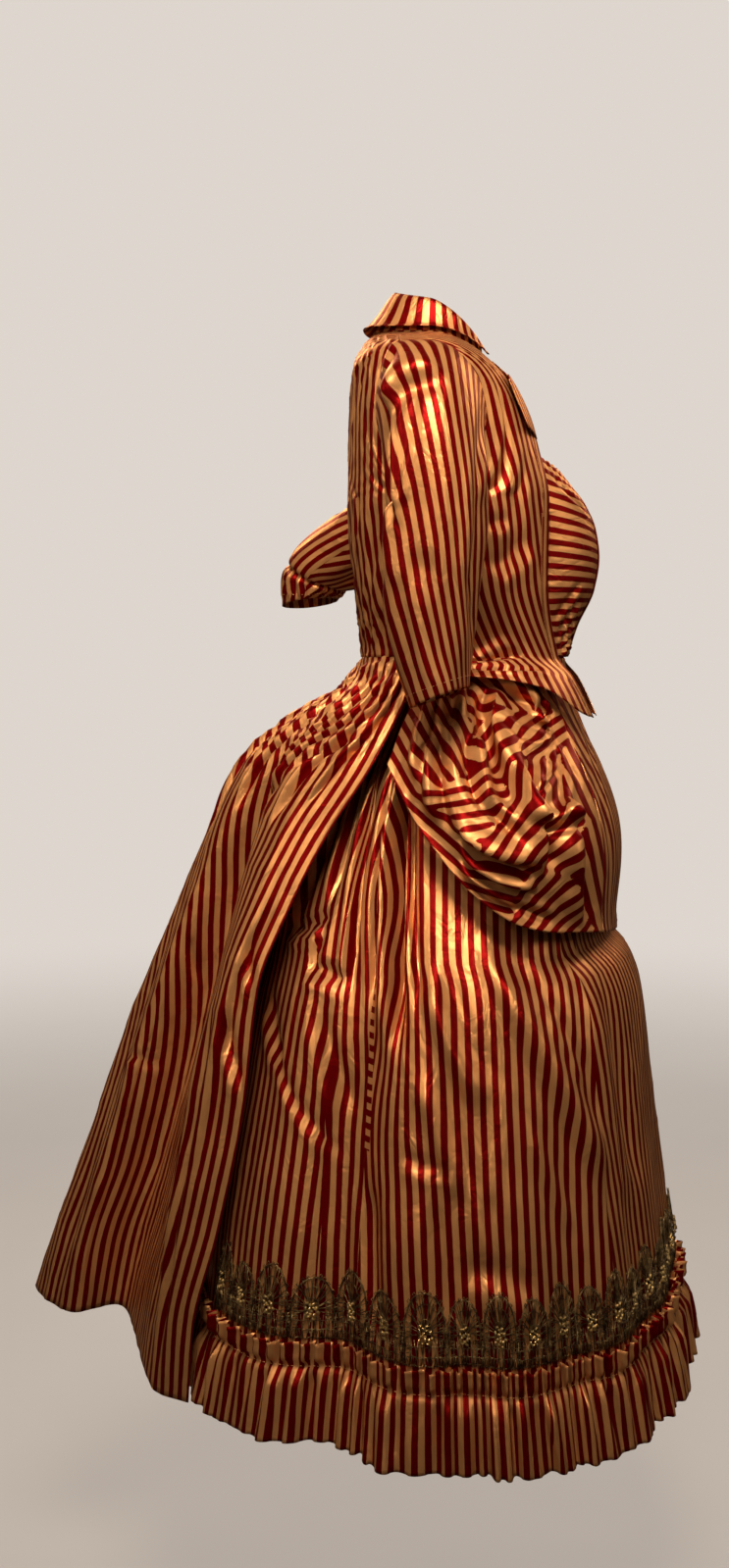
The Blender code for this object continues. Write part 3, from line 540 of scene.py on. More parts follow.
# Side drapes, small creases: place and share of the fall at both ends, width, depth and bow in metres.
PANNIER_CREASES = (
    (0.700, 0.120, 0.335, 0.235, 0.0075, 0.0085, 0.004),
    (0.470, 0.400, 0.350, 0.345, 0.0042, 0.0050, 0.002),
    (0.500, 0.455, 0.360, 0.370, 0.0042, 0.0050, 0.003),
    (0.530, 0.520, 0.372, 0.400, 0.0045, 0.0045, 0.003),
    (0.480, 0.235, 0.350, 0.270, 0.0042, 0.0050, -0.002),
    (0.640, 0.290, 0.400, 0.300, 0.0050, 0.0050, -0.003),
    (0.630, 0.930, 0.430, 0.960, 0.0060, 0.0045, 0.003),
    (0.660, 0.620, 0.575, 0.680, 0.0070, 0.0065, 0.003),
    (0.470, 0.700, 0.400, 0.860, 0.0100, 0.0040, 0.004),
    (0.880, 0.160, 0.800, 0.420, 0.0090, 0.0070, 0.004),
    (0.960, 0.260, 0.900, 0.520, 0.0080, 0.0060, -0.004),
    (0.840, 0.420, 0.760, 0.640, 0.0080, 0.0060, 0.004),
)

# Side drapes, folds that roll over: as above, and the cloth falls away steeply on the left of the way from
# the start to the stop as seen from inside.
PANNIER_FOLDS = (
    (0.585, 0.470, 0.690, 0.140, 0.030, 0.0160, 0.004),
    (0.572, 0.400, 0.500, 0.810, 0.020, 0.0150, 0.006),
    (0.640, 0.640, 0.715, 0.370, 0.016, 0.0120, 0.004),
    (0.520, 0.740, 0.720, 0.790, 0.022, 0.0150, 0.004),
    (0.500, 0.835, 0.700, 0.880, 0.016, 0.0120, 0.003),
    (0.540, 0.925, 0.700, 0.945, 0.013, 0.0090, 0.002),
    (0.350, 0.575, 0.560, 0.590, 0.018, 0.0110, 0.004),
    (0.400, 0.480, 0.345, 0.990, 0.022, 0.0100, -0.008),
    (0.940, 0.300, 0.850, 0.800, 0.020, 0.0110, 0.006),
    (0.850, 0.500, 0.760, 0.880, 0.018, 0.0100, 0.005),
    (0.980, 0.120, 0.900, 0.360, 0.014, 0.0080, 0.003),
    (0.820, 0.100, 0.760, 0.330, 0.014, 0.0080, -0.003),
)

# Train: ribs from centre back and share of the length at both ends, width, depth and bow in metres.
TRAIN_CREASES = (
    (4.25, 0.470, 4.95, 0.560, 0.012, 0.0070, 0.004),
    (4.30, 0.370, 4.85, 0.430, 0.010, 0.0060, 0.003),
    (1.25, 0.415, 1.65, 0.480, 0.008, 0.0040, 0.002),
    (0.55, 0.590, 1.55, 0.612, 0.006, 0.0030, 0.001),
    (3.95, 0.015, 3.60, 0.230, 0.011, 0.0100, 0.004),
    (4.45, 0.012, 4.25, 0.200, 0.009, 0.0090, 0.003),
    (4.10, 0.110, 3.20, 0.150, 0.008, 0.0060, 0.003),
    (3.20, 0.012, 3.00, 0.200, 0.010, 0.0100, -0.004),
    (2.70, 0.015, 2.40, 0.150, 0.008, 0.0070, 0.003),
    (2.20, 0.012, 2.00, 0.190, 0.010, 0.0090, 0.004),
    (3.30, 0.170, 2.30, 0.200, 0.009, 0.0060, -0.003),
    (1.20, 0.012, 1.35, 0.220, 0.012, 0.0090, 0.003),
    (0.75, 0.015, 0.90, 0.160, 0.009, 0.0070, 0.002),
    (0.35, 0.015, 0.50, 0.260, 0.012, 0.0080, -0.003),
    (4.60, 0.300, 4.40, 0.700, 0.018, 0.0060, 0.010),
    (3.80, 0.450, 3.90, 0.950, 0.024, 0.0070, -0.008),
    (0.60, 0.300, 0.70, 0.980, 0.030, 0.0050, 0.010),
    (1.10, 0.500, 1.25, 0.990, 0.026, 0.0060, -0.006),
)

# Sleeve: turn from its outer side and share of the length at both ends, width, depth and bow in metres.
SLEEVE_CREASES = (
    (-0.150, 0.080, -0.185, 0.780, 0.0090, 0.0050, 0.004),
    (-0.230, 0.200, -0.240, 0.900, 0.0120, 0.0060, -0.004),
    (0.178, 0.100, 0.190, 0.350, 0.0110, 0.0130, 0.002),
    (0.110, 0.175, 0.105, 0.330, 0.0042, 0.0042, 0.002),
    (0.078, 0.175, 0.082, 0.270, 0.0040, 0.0036, 0.002),
    (0.140, 0.190, 0.130, 0.420, 0.0050, 0.0046, -0.002),
    (0.045, 0.170, 0.052, 0.240, 0.0038, 0.0028, 0.001),
    (0.225, 0.300, 0.205, 0.640, 0.0120, 0.0060, -0.005),
    (0.020, 0.500, -0.040, 0.960, 0.0160, 0.0040, 0.006),
    (0.090, 0.600, 0.060, 0.980, 0.0120, 0.0030, -0.004),
    (0.300, 0.300, 0.280, 0.900, 0.0150, 0.0050, 0.004),
    (-0.350, 0.250, -0.360, 0.800, 0.0150, 0.0060, 0.004),
)
SLEEVE_FOLDS = (
    (-0.020, 0.120, 0.150, 0.180, 0.016, 0.0085, -0.004),
    (0.060, 0.060, 0.170, 0.110, 0.010, 0.0040, -0.002),
)

# Bodice front: place from the side seam and share of the length at both ends, width, depth and bow in metres.
FRONT_CREASES = (
    (0.300, 0.452, 0.600, 0.440, 0.0070, 0.0025, 0.002),
    (0.420, 0.555, 0.780, 0.470, 0.0130, 0.0040, 0.004),
    (0.180, 0.780, 0.500, 0.700, 0.0100, 0.0040, 0.003),
    (0.140, 0.860, 0.620, 0.770, 0.0090, 0.0045, -0.003),
    (0.230, 0.920, 0.700, 0.860, 0.0080, 0.0040, 0.003),
    (0.300, 0.220, 0.420, 0.420, 0.0110, 0.0050, 0.003),
    (0.620, 0.300, 0.700, 0.700, 0.0120, 0.0030, 0.004),
)

# Bust front: place from the bodice edge and share of the height at both ends, width, depth and bow in metres.
PLASTRON_CREASES = (
    (0.060, 0.960, 0.700, 0.740, 0.0045, 0.0035, 0.002),
    (0.050, 0.900, 0.560, 0.640, 0.0050, 0.0035, 0.002),
    (0.120, 0.990, 0.850, 0.860, 0.0045, 0.0035, 0.001),
    (0.080, 0.060, 0.700, 0.170, 0.0050, 0.0030, 0.002),
    (0.050, 0.780, 0.420, 0.560, 0.0050, 0.0028, 0.002),
)

# Facets of a side drape in the plane that is seen from the side: metres ahead of the knot's own upright and
# below the shoulders, and the way that the stripes run there, in degrees up from level.
PANNIER_FACETS = (
    (0.055, -0.425, 50.0),
    (0.088, -0.428, 30.0),
    (0.092, -0.470, 84.0),
    (0.108, -0.535, 43.0),
    (0.088, -0.578, 43.0),
    (0.055, -0.520, 52.0),
    (0.042, -0.566, -16.0),
    (0.022, -0.500, 10.0),
    (0.140, -0.470, -66.0),
    (0.142, -0.549, -76.0),
    (0.045, -0.385, -42.0),
    (0.092, -0.379, -58.0),
    (-0.010, -0.430, -60.0),
    (0.000, -0.530, -40.0),
)
FACET_BLEND = 0.014
VIEW_LEAN = (0.174, -0.985)
FINE_CLOTH = 0.0008
FACING = 0.0150
SLEEVE_SLANT = 13.0
FRONT_SLANT = 14.0
LAPEL_SLANT = 58.0
SKIRT_SEAMS = (-152.0, -106.8, -44.0, 12.0, 66.0, 122.0)
SKIRT_LEAN = 0.075
SEAM_STRIP = (-106.8, 1.7, 0.675, 0.835)
GATHER_LINE = 0.235
LACE_MOTIFS = 36


def grid_of(across, down):
    """Two arrays of parameters, rows down and columns across."""
    return np.meshgrid(np.asarray(across, float), np.asarray(down, float))


def spread(count, first=0.0, last=1.0):
    """Evenly spaced parameters."""
    return np.linspace(first, last, count + 1)


def noise(x, y, seed):
    """Smooth unevenness from -1 to 1: fixed scattered values at whole numbers, blended in between."""
    left = np.floor(x)
    low = np.floor(y)
    across = x - left
    along = y - low
    across = across * across * (3 - 2 * across)
    along = along * along * (3 - 2 * along)

    def value(a, b):
        mixed = np.sin(a * 127.1 + b * 311.7 + seed * 74.7) * 4375.85453
        return 2 * (mixed - np.floor(mixed)) - 1

    near = value(left, low) * (1 - across) + value(left + 1, low) * across
    far = value(left, low + 1) * (1 - across) + value(left + 1, low + 1) * across
    return near * (1 - along) + far * along


def crumple(s, t, width, length, seed):
    """Crisp small creases: sharp ridges where a stretched noise passes zero, over a softer swell."""
    bend = noise(t / (2.3 * length), s / (3.1 * width), seed + 5)
    first = noise(s / width + bend, t / length, seed)
    second = noise(s / (0.47 * width) - bend, t / (0.61 * length) + 3.7, seed + 1)
    return 0.8 * (1 - np.abs(first)) ** 3 - 0.3 + 0.45 * first + 0.3 * second


def furrow_profile(aside):
    """A soft trough with a low ridge on one side."""
    return 0.5 * np.exp(-((aside - 1.7) ** 2)) - np.exp(-(aside**2))


def fold_profile(aside):
    """A slow rise to a crest, a steep fall and a narrow trough under it."""
    ridge = ramp(aside, -1.3, 0.0) * (1 - ramp(aside, 0.0, 0.45))
    return ridge - 0.55 * np.exp(-(((aside - 0.62) / 0.35) ** 2))


def swell_profile(aside):
    """A slow rise to a crest, a softer fall and a shallow trough past it."""
    return ramp(aside, -1.3, 0.0) * (1 - ramp(aside, 0.0, 1.1)) - 0.25 * np.exp(-(((aside - 1.4) / 0.5) ** 2))


def creased(place, share, rows, wide, tall, profile=furrow_profile):
    """Height of listed creases along bowed lines that fade out, wide and tall metres for each unit."""
    height = np.zeros_like(place)
    for start_place, start_share, stop_place, stop_share, width, depth, bow in rows:
        run_s = (stop_place - start_place) * wide
        run_t = (stop_share - start_share) * tall
        length = math.hypot(run_s, run_t)
        s = (place - start_place) * wide
        t = (share - start_share) * tall
        part = (s * run_s + t * run_t) / length**2
        aside = (t * run_s - s * run_t) / length - bow * 4 * part * (1 - part)
        fade = ramp(part, -0.04, 0.22) * ramp(1 - part, -0.04, 0.22)
        height = height + depth * fade * profile(aside / width)
    return height


def lengths(grid):
    """Distance along the cloth from the first column and from the first row, at each point."""
    across = np.linalg.norm(np.diff(grid, axis=1), axis=2)
    down = np.linalg.norm(np.diff(grid, axis=0), axis=2)
    s = np.concatenate([np.zeros((len(grid), 1)), np.cumsum(across, axis=1)], axis=1)
    t = np.concatenate([np.zeros((1, grid.shape[1])), np.cumsum(down, axis=0)], axis=0)
    return s, t


def smoothed(values, reach):
    """Mean of each value and its neighbours down the column, as many rows up and down as the reach."""
    padded = np.pad(values, ((reach + 1, reach), (0, 0)), mode="reflect", reflect_type="odd")
    total = np.cumsum(padded, axis=0)
    return (total[2 * reach + 1 :] - total[: -2 * reach - 1]) / (2 * reach + 1)


def linear(colour):
    """Linear colour of an sRGB hex value."""
    parts = [int(colour[n : n + 2], 16) / 255 for n in (0, 2, 4)]
    return tuple(c / 12.92 if c <= 0.04045 else ((c + 0.055) / 1.055) ** 2.4 for c in parts)


def node(tree, kind, links=None, **settings):
    """Adds a node with its settings and links. A link is a socket or a value, by input name or number."""
    made = tree.nodes.new(kind)
    for name, value in settings.items():
        setattr(made, name, value)
    for name, value in (links or {}).items():
        if isinstance(value, bpy.types.NodeSocket):
            tree.links.new(value, made.inputs[name])
        else:
            made.inputs[name].default_value = value
    return made


def math_node(tree, operation, *values):
    """A number worked out from others."""
    return node(tree, "ShaderNodeMath", dict(enumerate(values)), operation=operation).outputs[0]


def satin_material(name, settings):
    """Silk and metal-thread satin, warp striped.

    Floats of warp give a broad coloured sheen, so the base is part metallic. The stripe is the pair width
    in metres along the cloth's own UV, its edges 0.4 mm soft. Slubs are 0.4 mm wide and 30 mm long, the
    crushed look is 9 to 30 mm creases, and the weave is drawn at 0.9 mm, coarser than it is, to show.
    """
    made = bpy.data.materials.new(name)
    made.use_nodes = True
    tree = made.node_tree
    shader = tree.nodes["Principled BSDF"]
    place = node(tree, "ShaderNodeUVMap", uv_map="cloth").outputs[0]
    axes = node(tree, "ShaderNodeSeparateXYZ", {0: place}).outputs
    wobble = node(tree, "ShaderNodeTexNoise", {"Vector": place, "Scale": 45.0, "Detail": 1.0}).outputs[0]
    across = math_node(tree, "ADD", axes[0], math_node(tree, "MULTIPLY", wobble, 0.0009))
    phase = math_node(tree, "FRACT", math_node(tree, "DIVIDE", across, settings.stripe_pair))
    centred = math_node(tree, "ABSOLUTE", math_node(tree, "SUBTRACT", phase, 0.5))
    half_edge = 0.0002 / settings.stripe_pair
    in_gold = node(
        tree,
        "ShaderNodeMapRange",
        {0: centred, 1: 0.25 - half_edge, 2: 0.25 + half_edge, 3: 1.0, 4: 0.0},
        interpolation_type="SMOOTHSTEP",
    ).outputs[0]
    stretched = node(tree, "ShaderNodeMapping", {0: place, "Scale": (2500.0, 33.0, 1.0)}).outputs[0]
    slub = node(tree, "ShaderNodeTexNoise", {"Vector": stretched, "Scale": 1.0, "Detail": 2.0}).outputs[0]
    patch = node(tree, "ShaderNodeTexNoise", {"Vector": place, "Scale": 14.0, "Detail": 3.0}).outputs[0]
    worn = math_node(tree, "MULTIPLY", patch, 0.30)
    shade = math_node(tree, "ADD", math_node(tree, "MULTIPLY", slub, 0.26), worn)
    shade = math_node(tree, "ADD", shade, 0.74)
    stripe = node(
        tree,
        "ShaderNodeMix",
        {0: in_gold, 6: (*settings.red, 1.0), 7: (*settings.gold, 1.0)},
        data_type="RGBA",
    ).outputs[2]
    colour = node(tree, "ShaderNodeVectorMath", {0: stripe, 1: shade}, operation="MULTIPLY").outputs[0]
    tree.links.new(colour, shader.inputs["Base Color"])
    rough = node(tree, "ShaderNodeMapRange", {0: patch, 1: 0.3, 2: 0.7, 3: 0.33, 4: 0.45}).outputs[0]
    tree.links.new(rough, shader.inputs["Roughness"])
    shader.inputs["Metallic"].default_value = 0.58
    shader.inputs["Specular Tint"].default_value = (1.0, 0.62, 0.36, 1.0)
    shader.inputs["Specular IOR Level"].default_value = 0.14
    weave = node(tree, "ShaderNodeMapping", {0: place, "Scale": (1100.0, 420.0, 1.0)}).outputs[0]
    weave = node(tree, "ShaderNodeTexNoise", {"Vector": weave, "Scale": 1.0, "Detail": 1.0}).outputs[0]
    crush = node(tree, "ShaderNodeMapping", {0: place, "Scale": (62.0, 30.0, 1.0)}).outputs[0]
    rumpled = {"Vector": crush, "Scale": 1.0, "Detail": 2.5, "Distortion": 0.8}
    crush = node(tree, "ShaderNodeTexNoise", rumpled).outputs[0]
    ridge = math_node(tree, "ABSOLUTE", math_node(tree, "SUBTRACT", crush, 0.5))
    crushed = node(tree, "ShaderNodeBump", {"Height": ridge, "Distance": 0.0045, "Strength": 0.55}).outputs[0]
    threads = {"Height": weave, "Distance": 0.00035, "Strength": 0.35, "Normal": crushed}
    woven = node(tree, "ShaderNodeBump", threads)
    tree.links.new(woven.outputs[0], shader.inputs["Normal"])
    return made


def metal_thread_material(name, settings):
    """Tarnished gilt thread: wire wound on a core, brown in its hollows, with painted glints where bright
    gilt colour stands in for highlights.
    """
    made = bpy.data.materials.new(name)
    made.use_nodes = True
    tree = made.node_tree
    shader = tree.nodes["Principled BSDF"]
    place = node(tree, "ShaderNodeTexCoord").outputs["Object"]
    tarnish = node(tree, "ShaderNodeTexNoise", {"Vector": place, "Scale": 140.0, "Detail": 3.0}).outputs[0]
    share = node(tree, "ShaderNodeMapRange", {0: tarnish, 1: 0.42, 2: 0.78, 4: 0.5}).outputs[0]
    # Painted glints: a share for each point that turns the thread to bright gilt, standing in for highlights.
    painted_glint = node(tree, "ShaderNodeAttribute", attribute_name="painted_glint").outputs["Fac"]
    share = math_node(tree, "MAXIMUM", share, painted_glint)
    colour = node(
        tree,
        "ShaderNodeMix",
        {0: share, 6: (*settings.tarnish, 1.0), 7: (*settings.gilt, 1.0)},
        data_type="RGBA",
    ).outputs[2]
    tree.links.new(colour, shader.inputs["Base Color"])
    rough = node(tree, "ShaderNodeMapRange", {0: share, 3: 0.52, 4: 0.27}).outputs[0]
    tree.links.new(rough, shader.inputs["Roughness"])
    shader.inputs["Metallic"].default_value = 0.85
    wound = node(tree, "ShaderNodeTexNoise", {"Vector": place, "Scale": 1700.0, "Detail": 1.0}).outputs[0]
    bump = node(tree, "ShaderNodeBump", {"Height": wound, "Distance": 0.0003, "Strength": 0.6}).outputs[0]
    tree.links.new(bump, shader.inputs["Normal"])
    return made


def thread_material(name, settings):
    """Sewing silk: the gold of the cloth, paler and duller, uneven along its length."""
    made = bpy.data.materials.new(name)
    made.use_nodes = True
    tree = made.node_tree
    shader = tree.nodes["Principled BSDF"]
    place = node(tree, "ShaderNodeTexCoord").outputs["Object"]
    uneven = node(tree, "ShaderNodeTexNoise", {"Vector": place, "Scale": 900.0, "Detail": 1.0}).outputs[0]
    shade = node(tree, "ShaderNodeMapRange", {0: uneven, 3: 0.65, 4: 1.25}).outputs[0]
    colour = node(tree, "ShaderNodeVectorMath", {0: tuple(settings.gold), 1: shade}, operation="MULTIPLY")
    tree.links.new(colour.outputs[0], shader.inputs["Base Color"])
    shader.inputs["Roughness"].default_value = 0.55
    return made


def material_named(name, maker, settings):
    """The material of that name, made when it is first asked for."""
    return bpy.data.materials.get(name) or maker(name, settings)


def mesh_piece(name, vertices, faces, look, replaced=()):
    """Object with its place in its mesh, riding on the dress."""
    mesh = bpy.data.meshes.new(name)
    mesh.from_pydata(vertices.tolist(), [], faces.tolist())
    mesh.polygons.foreach_set("use_smooth", np.ones(len(mesh.polygons), bool))
    mesh.materials.append(look)
    made = bpy.data.objects.new(name, mesh)
    bpy.context.scene.collection.objects.link(made)
    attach(made, "root")
    if replaced:
        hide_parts(*replaced)
    return made


def cloth_piece(name, grid, u, v, replaced, closed=False, gores=(), strips=(), near=False):
    """Cloth from a grid of points, with its own UV in metres across and along the stripes, and two sides.

    A closed piece has its first column again as its last. With gores, the UV starts anew at each seam:
    gores holds, for each gore, its first and last column and the column that its stripes run along.
    In a strip, given by its columns and rows, the stripes run across. With near set, the corners of a face
    that are more than half a stripe pair from its first corner are moved by whole pairs.
    """
    rows, columns = grid.shape[:2]
    wide = columns - 1 if closed else columns
    index = np.arange(rows)[:, None] * wide + np.arange(columns)[None, :] % wide
    corners = ((0, 0), (0, 1), (1, 1), (1, 0))
    faces = np.stack([index[a : rows - 1 + a, b : columns - 1 + b] for a, b in corners], axis=-1)
    first = np.zeros((rows, columns - 1))
    for start, stop, origin in gores:
        first[:, start:stop] = u[:, origin : origin + 1] + 0.004 * (start % 3)
    ahead = [u[a : rows - 1 + a, b : columns - 1 + b] - first[a : rows - 1 + a] for a, b in corners]
    us = np.stack(ahead, axis=-1)
    vs = np.stack([v[a : rows - 1 + a, b : columns - 1 + b] for a, b in corners], axis=-1)
    for start, stop, top, foot in strips:
        kept = us[top:foot, start:stop].copy()
        us[top:foot, start:stop] = vs[top:foot, start:stop]
        vs[top:foot, start:stop] = kept
    settings = bpy.context.scene.dress_cloth
    look = material_named("striped_silk_satin", satin_material, settings)
    places = grid[:, :wide].reshape(-1, 3)
    made = mesh_piece(name, places, faces.reshape(-1, 4), look, replaced)
    if near:
        pair = settings.stripe_pair
        us = us - pair * np.round((us - us[..., :1]) / pair)
    layer = made.data.uv_layers.new(name="cloth")
    layer.data.foreach_set("uv", np.stack([us, vs], axis=-1).astype(np.float32).ravel())
    thick = made.modifiers.new("thickness", "SOLIDIFY")
    thick.thickness = settings.thickness
    thick.offset = 0.0
    return made


def slanted(s, t, degrees):
    """Distance across stripes that lean by some degrees, and along them."""
    angle = math.radians(degrees)
    return s * math.cos(angle) + t * math.sin(angle), t * math.cos(angle) - s * math.sin(angle)


def seen_from_side(grid):
    """Where points lie in the upright plane that is seen from the wearer's right, mirrored for the left."""
    return -VIEW_LEAN[0] * np.abs(grid[..., 0]) + VIEW_LEAN[1] * grid[..., 1], grid[..., 2]


def swagged(grid, pair):
    """Distance across the stripes of a side drape, from its facets.

    Each facet has straight stripes. Near the line halfway between two facets their stripe phases are mixed
    as unit arrows, weighted by nearness, so that stripes bend or merge there and none is cut off.
    """
    ahead, up = seen_from_side(grid)
    away = np.stack([(ahead - row[0]) ** 2 + (up - row[1]) ** 2 for row in PANNIER_FACETS])
    share = np.exp((away.min(axis=0) - away) / FACET_BLEND**2)
    arrow = np.zeros(ahead.shape, complex)
    for (place, level, degrees), weight in zip(PANNIER_FACETS, share):
        lean = math.radians(degrees)
        across = (ahead - place) * math.sin(lean) - (up - level) * math.cos(lean)
        arrow = arrow + weight * np.exp(2j * np.pi * across / pair)
    return np.angle(arrow) / (2 * np.pi) * pair


def skirt_cloth(turn_deg, down):
    """Skirt with its uneven soft creases, which the lace and the flounce follow too."""
    base = skirt(turn_deg, down)
    turn = np.mod(turn_deg + 180.0, 360.0) - 180.0
    metres = math.radians(1.0) * 0.31
    s = turn * metres
    fade = ramp(down, 0.45, 0.70) * ramp(180.0 - np.abs(turn), 0.0, 12.0)
    soft = 0.0030 * crumple(s, down, 0.060, 0.24, 11) + 0.0011 * crumple(s, down, 0.018, 0.05, 14)
    near = creased(turn, down, SKIRT_CREASES, metres, 1.0)
    near = near + creased(turn, down, SKIRT_RIDGES, metres, 1.0, swell_profile)
    far = creased(-turn - 5.0, down - 0.012, SKIRT_CREASES, metres, 1.0)
    return lifted_out(base, soft * fade + near + far)


def flounce_cloth(phase, v):
    """Flounce with uneven gathers: sharp pleats hang from the gather line, a puckered heading stands above.

    The gather line is at its own share of the drop. Wave phases wander by smooth noise, so that pleats are
    wide, narrow, doubled and leaning in turn; above the line the waves are twice as close and small.
    """
    down, lift, _ = through(FLOUNCE, v)
    ends = ramp(GATHERS - phase, 0.0, 2.0) * ramp(phase, 0.0, 2.0)
    wander = noise(phase / 1.6, v * 0.6, 71) * ends
    size = 0.45 + 0.55 * noise(phase / 1.1, v * 0.7, 72)
    below = ramp(v - GATHER_LINE, 0.0, 0.22)
    above = ramp(GATHER_LINE - v, 0.0, 0.10)
    wave = np.cos(2 * np.pi * 4 / 3 * phase + 4.6 * wander)
    sharp = np.sign(wave) * np.abs(wave) ** 0.55 * size
    broad = np.cos(2 * np.pi * (phase / GATHERS) * 31 + 2.5 * wander)
    small = np.cos(2 * np.pi * 2 * phase + 3.4 * wander) + 0.6 * np.cos(2 * np.pi * 3 * phase + 2.0 * wander)
    tucks = 0.0064 * sharp * below + 0.0040 * broad * below + 0.0017 * small * (1 - 0.75 * ramp(v, 0.5, 1.0))
    heading = 0.0030 * small * above + 0.0022 * above
    line = 0.0028 * np.exp(-(((v - GATHER_LINE) / 0.030) ** 2))
    height = np.maximum(lift, 0.0050) + tucks * (0.30 + 0.70 * np.maximum(below, above)) + heading - line
    return lifted_out(skirt_cloth(gather_turn(phase), down), height)


def lifted_out(grid, distance):
    """Grid moved straight out from the dress's upright axis."""
    out = unit((grid - np.array([0.0, -0.03, 0.0])) * np.array([1.0, 1.0, 0.0]))
    return grid + out * np.asarray(distance)[..., None]


def stitches(line):
    """Every second stretch of a line of points, as short threads."""
    return [(line[k : k + 2], 1.0, 0.0) for k in range(0, len(line) - 1, 2)]


def stitched(name, lines, radius):
    """Sewing of short threads that lie on the cloth."""
    vertices, faces, _ = tubes(lines, radius)
    look = material_named("waxed_silk_thread", thread_material, bpy.context.scene.dress_cloth)
    return mesh_piece(name, vertices, faces, look)


class DressCloth(bpy.types.PropertyGroup):
    """Sizes and colours of the satin."""

    stripe_pair: bpy.props.FloatProperty(
        name="Stripe pair", description="Width of one red and one gold stripe", default=0.0127, unit="LENGTH"
    )
    thickness: bpy.props.FloatProperty(
        name="Thickness", description="Thickness of the shown cloth", default=FINE_CLOTH, unit="LENGTH"
    )
    red: bpy.props.FloatVectorProperty(
        name="Red", description="Red stripe", subtype="COLOR", default=linear("720005"), min=0, max=1
    )
    gold: bpy.props.FloatVectorProperty(
        name="Old gold", description="Gold stripe", subtype="COLOR", default=linear("DC9A60"), min=0, max=1
    )


class DressLace(bpy.types.PropertyGroup):
    """Sizes and colours of the metal lace."""

    thread: bpy.props.FloatProperty(
        name="Thread", description="Width of a metal thread", default=0.0010, unit="LENGTH"
    )
    tarnish: bpy.props.FloatVectorProperty(
        name="Tarnish", description="Dark thread", subtype="COLOR", default=linear("54402A"), min=0, max=1
    )
    gilt: bpy.props.FloatVectorProperty(
        # Bright gilt of the thread, also the colour of the painted glints that stand in for highlights.
        name="Gilt", description="Bright gilt thread and painted glints", subtype="COLOR", default=linear("FFD68C"), min=0, max=1
    )


class DressStage(bpy.types.PropertyGroup):
    """Floor, light and camera."""

    floor_down: bpy.props.FloatProperty(
        name="Floor", description="Distance of the floor below the shoulders", default=1.45, unit="LENGTH"
    )
    key: bpy.props.FloatProperty(
        name="Main light", description="Power of the main light", default=7.2, subtype="POWER", unit="POWER"
    )
    floor_colour: bpy.props.FloatVectorProperty(
        name="Floor colour", description="Pale paper", subtype="COLOR", default=linear("C9BDB2"), min=0, max=1
    )


class DRESS_OT_bodice(bpy.types.Operator):
    """Makes the bodice back, fronts, bust fronts and closing band"""

    bl_idname = "dress.bodice"
    bl_label = "Bodice"

    def execute(self, context):
        u, v = grid_of(spread(150), spread(100))
        base = bodice_back(u, v)
        s, t = lengths(base)
        height = 0.0024 * crumple(s, t, 0.010, 0.06, 3) * ramp(v, 0.02, 0.12)
        low = ramp(v, 0.74, 0.92) * ramp(1 - v, 0.0, 0.03)
        height = height + 0.0022 * crumple(s, t, 0.010, 0.011, 4) * low
        grid = lifted(base, height)
        back = cloth_piece("bodice_back_cloth", grid, s - s[:, 75:76], t, ["bodice_back"])
        for side, label in ((-1, "right"), (1, "left")):
            u, v = grid_of(spread(90), spread(120))
            base = bodice_front(u, v, side)
            s, t = lengths(base)
            s = s - s[:, -1:]
            height = 0.0009 * crumple(s, t, 0.03, 0.08, 20 + side) + creased(u, v, FRONT_CREASES, 0.17, 0.48)
            height = height * ramp(u, 0.0, 0.08) * ramp(1 - u, 0.0, 0.08) * ramp(1 - v, 0.0, 0.04)
            grid = lifted(base, height)
            across, along = slanted(s + 0.024 * (1 - np.exp(s / 0.06)), t, -FRONT_SLANT)
            ahead, up = seen_from_side(base)
            basque = ramp(v, 0.84, 0.90)
            hanging = ahead * 0.90 + up * 0.43
            across = across * (1 - basque) + (hanging - hanging[101:102] + across[101:102]) * basque
            yoke = ramp(0.24 - v, 0.0, 0.12)
            sideways = np.abs(base[..., 0]) - 0.10
            across = across * (1 - yoke) - sideways * yoke
            facing = -s < FACING
            across = np.where(facing, s + 0.003, across)
            height = height + 0.0009 * ramp(s + FACING, -0.001, 0.001)
            grid = lifted(base, height)
            front = cloth_piece(f"bodice_front_{label}_cloth", grid, across, along, [f"bodice_front_{label}"])
            u, v = grid_of(spread(60), spread(80))
            base = plastron(u, v, side)
            s, t = lengths(base)
            gathers = np.cos(2 * np.pi * (s / 0.011 + 0.6 * noise(s / 0.03, t / 0.05, 33)))
            height = 0.0010 * crumple(s, t, 0.02, 0.03, 30 + side) * ramp(v, 0.45, 0.8)
            height = height + 0.0014 * gathers * (ramp(v, 0.62, 0.92) + 0.7 * ramp(1 - v, 0.85, 1.0))
            height = height + creased(u, v, PLASTRON_CREASES, 0.09, 0.23)
            grid = lifted(base, height * ramp(u, 0.0, 0.15) * ramp(1 - u, 0.0, 0.2))
            middle = t[44:45]
            wander = 0.004 * ramp(v, 0.75, 1.0) * noise(s / 0.02, t / 0.03, 35)
            across = (t - middle) * (1 + 0.22 * u) + wander
            bust = cloth_piece(f"plastron_{label}_cloth", grid, across, s, [f"plastron_{label}"])
        u, v = grid_of(spread(6), spread(80, 0.0, 0.93))
        grid = front_band(u, v) + points(0 * u, 0.0013 + 0 * u, 0 * u)
        s, t = lengths(grid)
        band = cloth_piece("front_band_cloth", grid, s, t, ["front_band"])
        return {"FINISHED"}


